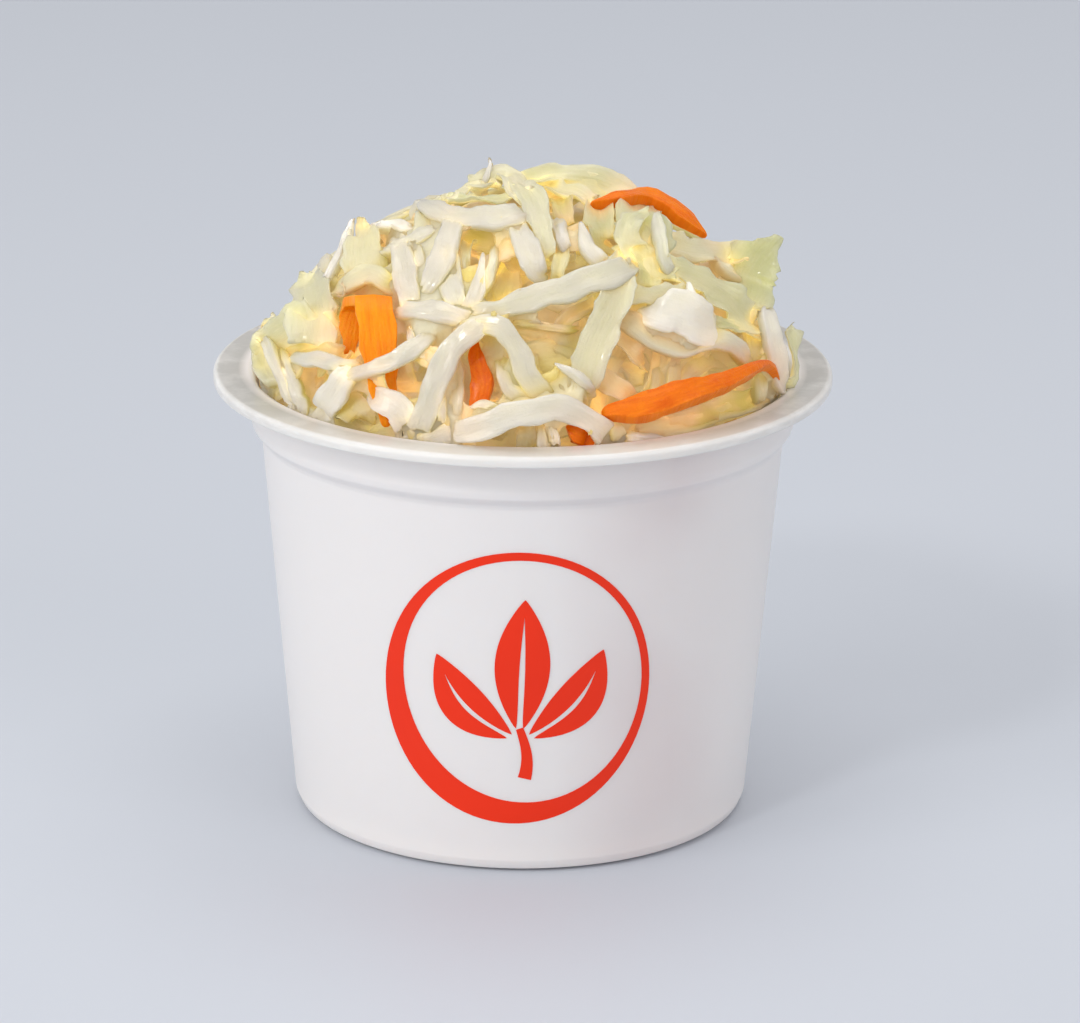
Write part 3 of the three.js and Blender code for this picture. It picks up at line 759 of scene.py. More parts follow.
def lay_strip(heap, template, line, wide, thick, look, seed, hue, turn=0.0, side_way=None):
    """Adds a copy of the bar to the heap, bent along a line of stations."""
    stations, waves = line
    mesh, rings = template
    shift = Vector([step * seed for step in SEED_STEPS])
    frames, length = ring_frames(stations, thick, look, seed, shift, turn, side_way)
    way_note, tone_note, edge_note = (note(heap, name) for name in ("way", "tone", "edge"))
    first = len(heap.verts)
    heap.from_mesh(mesh)
    heap.verts.ensure_lookup_table()
    for vertex in heap.verts[first:]:
        q, h = vertex.co.x, vertex.co.y
        s, place, side, face, girth = frames[round((vertex.co.z + 0.5) * rings)]
        run = s * length
        flank = 4 * q * q  # 0 in the middle and 1 at both edges
        edge = Vector((run * look["ragged_rate"], math.copysign(7, q), 0)) + shift
        edging = noise.noise(edge) + 0.4 * noise.noise(edge * 2.7) + 0.25 * noise.noise(edge * 6.5)
        width = girth * eased(wide, s) * (1 + look["ragged"] * edging)
        ruffle = look["ruffle"] * flank * noise.noise(edge * 1.2 + Vector((0, 0, 31)))
        swell = 1 + look["uneven"] * noise.noise(Vector((run * 0.4, 3 * q, 11)) + shift)
        lie = Vector((run * 0.12, 5 * q, math.copysign(5, h)))
        groove = look["groove"] * noise.noise(lie + shift)
        curl = look["cup"] * width * (flank - 0.4) + look["wave"] * 2 * q * math.sin(2.2 * s * waves)
        lift = h * thick * girth * swell + curl + ruffle + groove
        vertex.co = place + side * q * width + face * lift
        vertex[edge_note] = max(flank, 1 - min(s, 1 - s) * length / EDGE_RUN)
        vertex[way_note] = (run, q * width, seed)
        vertex[tone_note] = (*hue, peach(vertex.co))


def peach(place):
    """1 beside a carrot, whose sap stains what lies near it and whose light is painted onto it."""
    return max(0.0, 1 - carrot_places.find(place)[2] / CARROT_REACH)


# %% [markdown]
# ## Carrot
#
# Carrot is cut to straight strips with a nearly square section. One strip is a broad ribbon that
# was taken along the root and is bent over at its top, with one leg down the front and one back
# in the heap. They come before the cabbage, so that it can be tinted near them.

# %% Carrot strips of the front
CARROT_T = 2.2
RIBBON_T = 1.3
CARROT_LOOK = {
    "ends": 0.5, "cup": 0, "wave": 0, "sway": 0.3, "ragged": 0.18, "ragged_rate": 0.5,
    "ruffle": 0.1, "uneven": 0.3, "slant": 0.2, "groove": 0.16,
}
carrot_bar = bar_template(24, 32, (0.16, 0.16))

RIBBON = {"foot": (-16.5, -7.6, 0.6), "crown": (-18.1, 7.6, 3), "tuck": (-21.2, 0.4, -1.6)}
RIBBON_WIDTHS = [1.6, 3.6, 4.4, 4.4, 4.4, 3.6, 1.6]
RIBBON_WAVES = 6
FRONT_CARROTS = {  # places passed through, widths, the turn to the eye, the tilt
    "carrot_long": (
        [(9.6, -5.9, 1.6), (14.4, -5, 2.4), (20, -3.2, 2.8),
         (26, -1.2, 2.6), (29.4, 0.2, 2.2), (31, -1.6, 1.4)],
        [2, 3, 3.1, 2.3, 1.3, 1], 0.3, 0.45,
    ),
    "carrot_arch": (
        [(8, 19.4, 0.6), (11.6, 20.3, 1.8), (15.2, 20.5, 2), (18.4, 18.8, 1.8), (22.1, 15.8, 0.6)],
        [0.7, 1.6, 2.1, 2.7, 0.7], 0.6, 0.45,
    ),
    "carrot_sliver": (
        [(-5.7, 3.1, 0.6), (-5.7, 0.8, 0.5), (-5.1, -2, 0.4), (-5.4, -4.6, 0.4), (-5.8, -6.9, 0.4)],
        [0.9, 1.8, 2.6, 2.2, 1.6], 0.3, 0,
    ),
    "carrot_low": ([(5.3, -7.3, 0.8), (7.2, -8.5, 0.8), (9.8, -9.5, 0.4)], [1.3, 2.3, 1.2], 0.3, 0),
}


def ribbon_line():
    foot, crown, tuck = (Vector(RIBBON[key]) for key in ("foot", "crown", "tuck"))
    stations = []
    for s in spread(carrot_bar[1]):
        if s < 0.5:
            spot = foot.lerp(crown, 2 * s)
        else:
            t = 2 * s - 1
            side_share = math.sqrt(t)
            spot = Vector((
                mixed(crown.x, tuck.x, side_share),
                mixed(crown.y, tuck.y, t * t) + 0.5 * math.sin(math.pi * t),
                mixed(crown.z, tuck.z, side_share),
            ))
        stations.append(on_front(*spot))
    return stations, RIBBON_WAVES


def tilted(line, tilt):
    """Turns a line's faces about its own run, so that the upper side shows."""
    stations, steps = line
    places = [place for place, out in stations]
    turned = []
    for k, (place, out) in enumerate(stations):
        turned.append((place, Matrix.Rotation(-tilt, 3, heading_at(places, k)) @ out))
    return turned, steps


# %% Carrot strips of the sides and the back
BACK_CARROTS = {  # the angle round the heap, the share of its height, and how the strip lies
    "carrot_right": ((2.3, 0.3), {"heading": 0.5, "length": 15, "bow": 1.5, "wide": 3}),
    "carrot_back": ((3.0, 0.55), {"heading": -0.6, "length": 15, "bow": -2, "wide": 2.6}),
    "carrot_behind": ((3.4, 0.22), {"heading": 1.1, "length": 12, "bow": 1, "wide": 3.4}),
    "carrot_left": ((4.0, 0.3), {"heading": 0.2, "length": 11, "bow": -1, "wide": 2.2}),
}

THIN = {"carrot_arch": 1.5, "carrot_sliver": 1.5, "carrot_low": 1.8}
AMBER = {"carrot_ribbon": 1.0, "carrot_arch": 0.4, "carrot_sliver": 0.2, "carrot_low": 0.2}
USUAL_AMBER = 0.3
carrots = {"carrot_ribbon": (ribbon_line(), RIBBON_WIDTHS, RIBBON_T, Vector((-1, 0, 0)))}
for name, (through, widths, face, tilt) in FRONT_CARROTS.items():
    line = tilted(front_line(through, widths, carrot_bar[1], face), tilt)
    carrots[name] = (line, widths, THIN.get(name, CARROT_T), None)
for name, (spot, lie) in BACK_CARROTS.items():
    line = mound_line(spot_at(*spot), carrot_bar[1], lift=0.2, arch=1.4, **lie)
    carrots[name] = (line, (lie["wide"],) * 2, CARROT_T, None)

line_places = [place for line, *_ in carrots.values() for place, out in line[0]]
carrot_places = kdtree.KDTree(len(line_places))
for number, place in enumerate(line_places):
    carrot_places.insert(place, number)
carrot_places.balance()
print(len(carrots), "strips of carrot")


# %% The carrot's finish
def carrot_finish():
    # A faint orange glow, painted light, stands in for light passing through the carrot in its shade.
    look = Finish(
        "carrot", Coat_Weight=0.1, Coat_Roughness=0.16, Specular_IOR_Level=0.22, IOR=1.4,
        Subsurface_Weight=0.25, Subsurface_Scale=0.0014, Subsurface_Radius=(1.0, 0.45, 0.15),
        Emission_Color=tint(255, 96, 0), Emission_Strength=0.06,
    )
    way = look.attribute("way")
    streaks = look.noise(look.stretched(way, (0.12, 1.1, 1)), 1.6, 3.0)
    blots = look.noise(way, 0.55, 2.0)
    grain_and_highlights = look.noise(way, 1.7, 4.0, 0.6)
    amber = look.parts(look.attribute("tone"))[0]
    edge = look.attribute("edge", "Fac")
    deep_orange = look.mix(streaks.between(0.3, 0.7), tint(238, 106, 0), tint(214, 80, 0))
    golden = look.mix(streaks.between(0.3, 0.7), tint(250, 160, 8), tint(246, 134, 2))
    colour = look.mix(amber + (blots - 0.5) * 0.5, deep_orange, golden)
    # Painted highlight: the strip's edges are painted a lighter orange.
    painted_edge_highlight = (edge + (grain_and_highlights - 0.5) * 1.2).between(0.7, 1.1)
    colour = look.mix(painted_edge_highlight * 0.4, colour, tint(255, 150, 40))
    # Lighter speckles: partly the carrot's own mottle, partly painted glints.
    mottle_and_glints = grain_and_highlights.between(0.54, 0.74)
    look.drive(Base_Color=look.mix(mottle_and_glints * 0.35, colour, tint(255, 140, 22)))
    look.drive(Roughness=0.2 + grain_and_highlights * 0.3)
    look.bump(streaks + grain_and_highlights, 0.0003, 0.7)
    return look


carrot = carrot_finish()
carrot_strips = {}
for number, (name, (line, wide, thick, side_way)) in enumerate(carrots.items()):
    strip = new_heap()
    amber = AMBER.get(name, USUAL_AMBER)
    hue = (amber, 0)
    lay_strip(strip, carrot_bar, line, wide, thick, CARROT_LOOK, number, hue, side_way=side_way)
    carrot_strips[name] = strip

# %% [markdown]
# ## The imported salad inside
#
# Under the shreds that show lies the imported rest of the salad. It is one lumpy core: a profile
# spun about the axis, which fills the cup and rises to a dome a little below the mound's
# surface. Its relief is the size of shreds and bits, and it has the deep yellow of dressing in
# the gaps, which also stands as painted shade for the yellow light deep between the shreds.

# %% The core
CORE_SINK = 3.8
CORE_STEPS = 180
CORE_ROWS = 70
CORE_FADE = 3  # the relief comes up over this height
CORE_GREEN = 0.5


def core_profile():
    ledge = CUP_H - CORE_LEDGE
    wall_line = wall_outside(FLOOR_TOP + FOOT_CORNER, ledge, WALL + 1.3 * GAP)
    line = [(0, FLOOR_TOP + GAP)]
    line.append((wall_radius(FLOOR_TOP) - WALL - FOOT_CORNER - GAP, FLOOR_TOP + GAP))
    line += wall_line
    low = math.asin((ledge - MOUND_CENTRE.z) / (MOUND_H - CORE_SINK))
    for k in range(CORE_ROWS + 1):
        angle = mixed(low, math.pi / 2, k / CORE_ROWS)
        level = (MOUND_R - CORE_SINK) * math.cos(angle)
        line.append((max(0.0, level), MOUND_CENTRE.z + (MOUND_H - CORE_SINK) * math.sin(angle)))
    return line


def core():
    shape = add_notes(spun(core_profile(), CORE_STEPS))
    way_note, tone_note = note(shape, "way"), note(shape, "tone")
    for vertex in shape.verts:
        place = vertex.co.copy()
        over_rim = min(1.0, max(0.0, (place.z - CUP_H + CORE_LEDGE) / CORE_FADE))
        if over_rim > 0:
            lumps = noise.noise(place * 0.28) * 1.3 + noise.noise(place * 0.8) * 0.7
            vertex.co = place + outward_at(place, radii_at(0)) * lumps * over_rim
        vertex[way_note] = place
        vertex[tone_note] = (CORE_GREEN, 0, 0)
    return shape


# %% The cabbage's finish
CLEAR_FLESH = tint(231, 226, 212)
# the yellow of dressing and of painted shade, and the olive and buff of the deepest gaps
SOAKED_AND_SHADED = tint(224, 214, 168)
OLIVE = tint(200, 186, 100)
BUFF = tint(222, 194, 146)
# the colour of a painted glow, for light that comes out of the gaps
AMBER_GLOW = tint(222, 200, 148)
CARROT_JUICE_AND_LIGHT = tint(250, 212, 172)
BLACK = (0, 0, 0, 1)


def cabbage_finish(name, pale, leafy, vein, amber=0.9, glow=0.23):
    look = Finish(
        name, Coat_Roughness=0.12, Emission_Strength=glow, IOR=1.4,
        Subsurface_Weight=0.9, Subsurface_Scale=0.0026, Subsurface_Radius=(1.0, 0.95, 0.6),
    )
    look.shader.subsurface_method = "BURLEY"
    way = look.attribute("way")
    green, deep, near_carrot = look.parts(look.attribute("tone"))
    edge = look.attribute("edge", "Fac")
    fibres = look.noise(look.stretched(way, (0.3, 2.6, 1)), 1.1, 2.0)
    clouds = look.noise(look.stretched(way, (0.2, 0.4, 1)), 1.0, 2.0)
    bits = look.noise(way, 2.2, 3.0)
    leafiness = green + (clouds - 0.5) * 0.8 + (fibres - 0.5) * vein
    colour = look.mix(leafiness.between(0.0, 1.0), pale, leafy)
    clear = (edge * 0.3 + (clouds - 0.5) * 1.6).between(0.0, 1.0) * 0.4
    clear = clear + (0 - green).between(0.0, 1.0)
    colour = look.mix(clear, colour, CLEAR_FLESH)
    # Near a carrot the flesh is painted peach: partly the carrot's sap, partly painted light thrown off
    # it.
    colour = look.mix(near_carrot * 0.45, colour, CARROT_JUICE_AND_LIGHT)
    # Painted shade: the more enclosed and the more soaked a point, the yellower its flesh, and in the
    # deepest gaps it turns olive and buff; `amber` sets how far that shows.
    colour = look.mix(deep.between(0.3, 0.8) * 0.8, colour, SOAKED_AND_SHADED)
    gap_shade_and_dressing = look.mix(look.noise(look.place(), 150, 2.0).between(0.4, 0.6), OLIVE, BUFF)
    colour = look.mix(deep.between(0.6, 1.0) * amber, colour, gap_shade_and_dressing)
    look.drive(Base_Color=colour, Coat_Weight=0.5 * (1 - deep.between(0.3, 0.8)))
    # Painted light: where a point has little open air it glows faintly amber, for the light that comes
    # out of the gaps between shreds.
    shade = look.attribute("shade", "Fac")
    look.drive(Emission_Color=look.mix(shade.between(0.68, 1.05), BLACK, AMBER_GLOW))
    look.drive(Roughness=0.24 + bits * 0.26)
    look.bump(fibres + bits * 0.5, 0.00022, 0.6)
    return look


# the pale and the leafy tint, and how far the veins show
RIB_TINTS = (tint(209, 203, 187), tint(197, 197, 158), 0.25)
LEAF_TINTS = (tint(205, 200, 176), tint(183, 184, 132), 0.45)
# the stronger painted glow of the low shreds at the front
LOW_GLOW = 0.42
rib_finish = cabbage_finish("cabbage_rib", *RIB_TINTS, glow=0.2)
leaf_finish = cabbage_finish("cabbage_leaf", *LEAF_TINTS)
low_rib_finish = cabbage_finish("low_rib", *RIB_TINTS, glow=LOW_GLOW)
low_leaf_finish = cabbage_finish("low_leaf", *LEAF_TINTS, glow=LOW_GLOW)
# The core's deep yellow is dressing and also painted shade for the gaps.
core_finish = cabbage_finish("packed_salad", tint(240, 200, 110), tint(236, 184, 66), 0.4)

packed = core()
print("packed salad:", len(packed.verts), "points")

# %% [markdown]
# ## The shreds that show at the front
#
# Each of them is told apart: ribs, which are thick, white and stiff, and leaves, which are
# thin, greener and wavy. They are listed with the places they pass through, as (across, up, lift)
# from the rim's centre, and their widths from end to end. `green` and `soak` say how green the
# flesh is and how soaked with dressing, and below 0 it is clearer and whiter than usual. `face`
# turns the flat side to the eye, and an end that is `free` isn't buried in the heap.

# %% The shreds of the front
RIB = {
    "thick": 1.45, "ends": 0.6, "cup": 0.08, "wave": 0.0, "sway": 0.4, "ragged": 0.3,
    "ragged_rate": 0.28, "ruffle": 0.35, "uneven": 0.6, "slant": 0.7, "groove": 0.14,
}
LEAF = {
    "thick": 0.5, "ends": 0.55, "cup": 0.12, "wave": 0.3, "sway": 0.5, "ragged": 0.42,
    "ragged_rate": 0.34, "ruffle": 1.5, "uneven": 0.3, "slant": 0.5, "groove": 0.22,
}


def shred(look, through, widths, green, soak, face, free):
    line = with_buried_ends(through, free)
    return {"look": look, "through": line, "wide": widths, "face": face, "hue": (green, soak)}


def rib(through, widths, green=0.08, soak=0.0, face=0.4, free=""):
    return shred(RIB, through, widths, green, soak, face, free)


def leaf(through, widths, green=0.35, soak=0.0, face=0.4, free=""):
    return shred(LEAF, through, widths, green, soak, face, free)


FRONT = {
    # over the rim
    "front_arch": rib(
        [(-11.5, -8.9, 1), (-6, -7.9, 3), (-1, -6.2, 4),
         (3.5, -5.2, 3.6), (7.6, -6.3, 2.6), (11.2, -9.4, 0.8)],
        [2.6, 2.8, 3.1, 3.1, 2.8, 2.0], green=-0.3),
    "left_leg": rib(
        [(-13.2, -9.2, 1), (-11.9, -5.5, 1.8), (-10.2, -1.5, 3), (-8.2, 2.2, 4), (-5, 4.7, 4)],
        [2.9, 2.8, 2.7, 2.2]),
    "left_fall": rib(
        [(-6.6, 4.3, 3.8), (-3, 4.6, 4.2), (-0.6, 1.6, 2.8), (0.8, -1.6, 1.8), (3.2, -4.2, 0.8)],
        [2, 2.6, 2.8, 2.6, 1.7], soak=0.35),
    "lower_left": rib(
        [(-17.2, -4.4, 2.4), (-14.9, -6, 1.8), (-14.2, -9.2, 0.8)],
        [1.4, 3.6, 3], green=-0.9, soak=-0.2),
    "hook": rib(
        [(-6.3, -5.2, 1.8), (-4.8, -4.8, 2.2), (-2.8, -5.6, 2)],
        [0.8, 1.4, 1.2], soak=0.25, free="start"),
    "fan_left": rib(
        [(-2.3, -0.7, 1), (-1.5, -2.8, 1), (0.6, -4.6, 0.8)],
        [1.2, 2.3, 1.6], green=0.0, soak=0.15),
    "stub_left": leaf([(0.4, -7.4, 0.4), (0.4, -9.9, 0)], [2.3, 2.3], green=0.1),
    "stub_middle": rib([(2.4, -7.4, 0.5), (2.6, -9.9, 0.3)], [1.3, 1.6], green=-0.6),
    "stub_right": rib([(3.5, -7, 1.6), (4, -9.9, 1)], [1.2, 1.5], green=-0.9),
    "low_right": rib([(11.4, -7.6, 1), (12.3, -9.7, 0.6)], [2, 2.3], green=0.0),
    "rim_crumb": rib([(13.4, -8.5, 1), (16.2, -9.1, 0.6)], [1.2, 1.4], green=-0.9),
    "rim_strip": leaf(
        [(14.6, -7.7, 0.8), (19, -7.6, 0.6), (24, -6.4, 0.5), (30, -3.9, 0.4)],
        [1.8, 2.3, 1.9, 1.6], green=0.1, soak=0.3),
    "under_carrot": leaf(
        [(17.5, -6.6, -0.4), (22, -5.4, -0.4), (27, -3.9, -0.4)],
        [1.6, 2.4, 2], soak=0.7),
    "under_hook": rib([(28.8, -1, 0.2), (28.6, -3.9, 0)], [1.8, 1.8], green=0.2, soak=0.35),
    # the middle
    "bent_rise": rib(
        [(-6.2, 6.3, 2), (-2, 7.1, 2.6), (3, 8.7, 3.4), (7.6, 10.1, 4), (11.8, 11.6, 4.5)],
        [1.5, 2.4, 3.1, 3.5, 3], green=0.25),
    "bent_fall": leaf(
        [(11.6, 11.8, 4.5), (11, 8, 3.8), (9.2, 4, 2.8), (8, 0.4, 2), (7.4, -3.4, 1)],
        [3.2, 4, 4.6, 4, 2.4], green=0.3),
    "bright_strip": rib(
        [(3.8, 0.3, 2.4), (5.6, -0.8, 2.4), (7.4, -2.3, 1.8)],
        [0.9, 1.3, 0.8], free="start"),
    "cross_strand": rib(
        [(-0.6, 5.2, 1), (2.2, 4.9, 0.6), (5.2, 4.3, 0.2)],
        [0.9, 1, 0.7], green=0.1, soak=0.9),
    "gap_curl": leaf(
        [(8, 7.2, 0.2), (5.8, 5.8, 0), (4.4, 4.2, -0.2)],
        [1.6, 1.9, 1], green=0.6, soak=0.4),
    "inner_post": rib([(-9.2, 2.4, 0), (-8.5, -2.4, 0.4), (-8.6, -6.8, 0.5)], [2, 2.6, 2.4], soak=0.1),
    "inner_strip": rib([(-9.9, -2.2, 1), (-9.8, -5.8, 1)], [0.8, 1.4]),
    "inner_leaf": leaf(
        [(-3.8, 3.6, 0.2), (-3.4, 1, 0.2), (-3.9, -1.4, -0.2)],
        [2.6, 3.3, 2.2], green=0.1),
    "fall_peach": rib([(5.4, -2.2, 0.8), (6.6, -4.2, 0.8)], [2.2, 1.8], green=0.0),
    "bridge": leaf(
        [(8.6, 0.4, 0.2), (10, -1.6, 0.6), (12.4, -3.6, 0.2)],
        [2, 2.6, 1.6], green=0.1, soak=0.8),
    "bridge_top": leaf(
        [(10.6, 6, 0.4), (12.2, 3.6, 0.4), (13.8, 1.4, -0.2)],
        [2.4, 3.3, 2.8], green=0.1, soak=0.6),
    "wave_right": rib(
        [(12.4, 5.8, 0.8), (15.4, 3.5, 1.2), (18.6, 2.4, 1.6),
         (22, 3.2, 2), (25, 2.9, 1.6), (27, 0.8, 0.6)],
        [2, 2.8, 2.8, 2.7, 2.4, 1.5], soak=0.35),
    "chunk": rib(
        [(16.8, 6.8, 3.2), (19.3, 6.2, 3.8), (22.2, 5, 3.2)],
        [4, 5.2, 4.2], green=-1.0, soak=-0.2, face=0.7),
    "chunk_tip": rib(
        [(19.9, 10.2, 3.4), (20.7, 7.4, 3.6)],
        [0.8, 2.6], green=-1.0, soak=-0.3, free="start"),
    "behind_chunk": leaf(
        [(13.2, 7.6, 0.8), (14.8, 5.8, 1), (16.6, 4.2, 0.8)],
        [1.6, 2.4, 1.8], green=0.6, soak=0.4),
    # the right shoulder
    "right_post": rib(
        [(28.9, 9.2, 1.4), (29.6, 6, 2), (30.5, 2, 2), (31.2, -1.6, 1)],
        [1.8, 2.7, 2.9, 1.9], green=-0.6, soak=-0.3, free="start"),
    "behind_post": leaf(
        [(26.4, 7, 0.2), (27.7, 4, 0.2), (28.2, 0.8, 0)],
        [2, 2.6, 1.8], green=0.9, soak=0.1),
    "rim_right": leaf([(32.6, 3.6, 0.2), (33, 0, 0.2), (32, -3.6, 0)], [1.3, 1.9, 1.6], green=0.5),
    "green_leaf": leaf(
        [(26.4, 7.6, 0.6), (27.2, 10.4, 1), (28.6, 13, 1.4), (31, 16, 1.8)],
        [4.6, 7.4, 6.4, 1.4], green=0.85, face=0.9, free="end"),
    "crumple": leaf(
        [(15, 18.8, 3.6), (12.9, 17.6, 3.8), (13, 14.4, 3)],
        [2.4, 3.6, 3], green=0.45, free="start"),
    "crumple_back": leaf(
        [(14, 18.4, 2.6), (14.6, 14.6, 2.4), (15.2, 10.4, 2)],
        [4.4, 6.4, 5.6], green=0.8, soak=-0.2, face=0.8),
    "crumple_edge": rib(
        [(15.9, 18.6, 4), (16.2, 15.4, 3.6), (17.4, 11.8, 3)],
        [1.8, 1.6, 2], green=0.4, free="start"),
    "crumple_inside": leaf(
        [(14.2, 14.8, 2.6), (15, 12.2, 2.2), (14.6, 9.6, 2)],
        [2.4, 3.4, 2.8], green=1.0),
    "drape": leaf(
        [(16.8, 12, 2.8), (20.6, 10.7, 2.8), (24.2, 8.6, 2.2), (27, 6.2, 1.4)],
        [2.8, 3.8, 4.6, 2.8], green=0.6, soak=0.15),
    "drape_low": leaf([(12.8, 8.4, 2.4), (16.4, 8.8, 2.6), (20, 9.2, 2.8)], [1.8, 2.6, 2], soak=0.15),
    "under_drape": leaf([(22.4, 5.7, 1.2), (25.4, 5, 1), (28.2, 4.1, 0.6)], [1.7, 1.7, 1.4], green=0.9),
    "shoulder_right": leaf(
        [(16.6, 15.8, 1.2), (19.4, 14.5, 1.4), (22.6, 13.8, 1), (26.2, 13.8, 0.4)],
        [2.4, 3.7, 3.6, 1.6], green=0.25, soak=0.3),
    "shoulder_peach": rib([(23.8, 12.4, 0.8), (25.4, 10.8, 0.6)], [1.8, 1.6], green=0.0, soak=0.5),
    "under_arch": leaf([(9, 18.8, 0), (9.5, 15.4, 0.2)], [3.2, 3.2], green=0.9),
    # the top
    "ridge": leaf(
        [(0.6, 22.7, 0.4), (5, 23.3, 0.6), (9, 23, 0.6), (12.8, 21.4, 0.2)],
        [1.4, 2.4, 2.6, 1], green=0.4, soak=-0.1, face=0.7),
    "ridge_front": leaf(
        [(3.4, 21.6, 0.6), (6.2, 20.8, 0.6), (8.6, 19.2, 0.2)],
        [2.6, 3, 1.4], green=0.3),
    "ridge_fill": leaf(
        [(1.6, 21.2, 0), (5.4, 21.9, 0.2), (10, 21.3, 0.1)],
        [2.6, 3.4, 3], green=0.4, face=0.7),
    "tip_fold": leaf(
        [(-5.6, 22, 0.8), (-3.4, 22.9, 1.2), (-1.2, 22.4, 2), (0.6, 20.4, 3)],
        [1.2, 2.8, 3.4, 2.8], green=0.15, soak=-0.2, face=0.7),
    "tip_fall": leaf(
        [(-0.4, 21.8, 2.8), (1.2, 19.4, 3.2), (2.3, 16, 3), (2.9, 13.4, 2.2)],
        [2.6, 3, 2.7, 1.3], green=0.3),
    "tip_spike": rib(
        [(-4.3, 25.1, 1.2), (-4.2, 24, 1.4), (-4.6, 22.4, 1)],
        [0.5, 0.8, 1.3], green=-0.5, soak=-0.2, face=0.7, free="start"),
    "tip_left": leaf(
        [(-8.4, 20.4, 0.8), (-6.6, 21.4, 1), (-4.8, 21.6, 1.2)],
        [1.2, 1.5, 1.2], green=0.2, soak=-0.2),
    "top_leaf": leaf(
        [(-8.2, 20, 0.8), (-5, 20.4, 1.4), (-0.8, 20.8, 1.8)],
        [1.2, 1.8, 1.8], green=0.7, soak=-0.2),
    "top_band": rib(
        [(-11.5, 19.1, 1.5), (-8, 17.9, 2.6), (-4, 17.7, 3.2), (-0.4, 18.1, 3)],
        [1.6, 3, 3.2, 2.6]),
    "centre_rib": rib([(-0.9, 16.9, 2.4), (0.1, 14.4, 2.6), (1.5, 11.4, 2)], [2, 3, 1.8], green=0.0),
    "centre_leaf": leaf(
        [(-7.2, 15.2, -0.2), (-3.6, 14.4, -0.2), (-0.4, 12.4, -0.2)],
        [2.2, 2.8, 2], green=0.0, soak=0.3),
    "notch_leaf": leaf([(4.2, 20, 0), (4.8, 17, 0.2)], [2.8, 2.4], green=0.9, soak=0.5),
    "notch_rib": rib([(4.1, 16.5, 1.6), (5, 14.2, 1.6)], [1.6, 1.9], green=-0.5, soak=-0.3),
    "notch_yellow": leaf([(4.8, 14.2, 1.2), (4.1, 10.8, 1.2)], [2.1, 1.5], green=0.6, soak=0.2),
    "upright": rib(
        [(6.8, 17.4, 3), (7.6, 15, 3), (9.3, 12.4, 2.6)],
        [1.5, 2.3, 2.4], green=0.0, free="start"),
    # the left shoulder
    "upper_left": leaf(
        [(-11.2, 18.6, 1), (-12, 16, 0.8), (-12.6, 13.4, 0.8)],
        [2.2, 3.2, 2.8], green=0.25, soak=-0.2),
    "pale_post": rib([(-9, 16.6, 2.5), (-9.5, 13.4, 2.2), (-11.4, 9.2, 1.5)], [2.7, 3, 1.2], green=0.0),
    "left_post": rib([(-15, 14, 1.5), (-14.4, 10.8, 1.8), (-13.6, 7.2, 1.5)], [2, 3, 2.5], green=0.0),
    "left_post_side": rib(
        [(-12.7, 13.8, 1), (-12.3, 10.4, 1), (-12.5, 7.8, 0.8)],
        [1.2, 1.4, 1], green=0.15),
    "loop_top": rib(
        [(-16, 13.9, 1.2), (-14, 14.7, 1.6), (-11.2, 16, 1.4)],
        [1.3, 2.1, 2.2], green=0.15),
    "crumb": rib(
        [(-17, 16.7, 0.5), (-15.6, 16.9, 0.6), (-14.2, 16.2, 0.5)],
        [0.9, 1.4, 1], green=-0.8, soak=-0.3),
    "vee_left": rib([(-9, 12.8, 1.4), (-8.9, 9.8, 1.6), (-8, 6.8, 1.8)], [1.8, 2.8, 2.2], green=0.15),
    "vee_leaf": leaf([(-6.7, 14, 0.6), (-7.1, 11.4, 0.6)], [1.7, 1.4], green=0.7),
    "vee_right": rib(
        [(-4.9, 13.5, 1.6), (-5.3, 10.4, 1.9), (-6.6, 6.8, 2)],
        [0.7, 1.9, 2], green=0.0, free="start"),
    "vee_side": rib(
        [(-3.6, 13, 1.2), (-4.2, 10, 1.3), (-5.4, 7, 1.3)],
        [1.2, 1.3, 1], green=0.3, soak=0.3),
    "saddle": rib([(-14.2, 6.4, 1.8), (-10.6, 6.6, 2.4), (-7, 5.8, 2.6)], [2, 2.4, 2], green=0.0),
    "saddle_peach": rib([(-13, 5.2, 0.6), (-12.7, 2.6, 0.6)], [1.7, 1.7], green=0.0, soak=1.0),
    "dab": rib([(-13.4, 3, 1.8), (-12.8, 0.6, 1.8)], [1, 1.2], green=0.0),
    "wedge": leaf(
        [(-19.7, 17.8, 1), (-19.4, 14.5, 1.2), (-19.4, 9, 0.8)],
        [2.4, 5.2, 6.6], soak=0.35, face=0.9, free="start"),
    "wedge_edge": rib(
        [(-20.7, 17.6, 1.4), (-21.9, 13.8, 1.4), (-23.6, 10.2, 1)],
        [0.6, 1.2, 1.4], green=-0.8, soak=-0.4, free="start"),
    "over_ribbon": rib(
        [(-21.6, 9.4, 1.4), (-18.5, 10.7, 1.8), (-15.8, 9.6, 1.4)],
        [2.4, 2.8, 2.4], green=0.6, soak=0.5),
    "shoulder_left": leaf(
        [(-30.8, 3.2, 0.5), (-27, 4.4, 0.7), (-22.8, 5, 0.2)],
        [2, 3.2, 3], green=0.5, soak=0.15),
    "corner_leaf": leaf([(-26, 9.4, 1), (-25.4, 6, 1.4), (-25, 2.4, 1)], [3, 6, 6.2], face=0.6),
    "shoulder_sheet": leaf(
        [(-31.4, 0.6, 0.6), (-28.4, 3, 0.9), (-24.6, 5.2, 1)],
        [4, 6, 6.6], green=0.5, face=0.8),
    "corner_fold": leaf(
        [(-28, 1, 0.4), (-25, 1.8, 0.9), (-22.4, 1, 0.6)],
        [1.8, 2.2, 1.8], green=0.4, soak=0.6),
    "low_leaf": leaf(
        [(-30.6, 4.4, 0.8), (-31.6, 1, 1), (-30.4, -2.8, 0.8)],
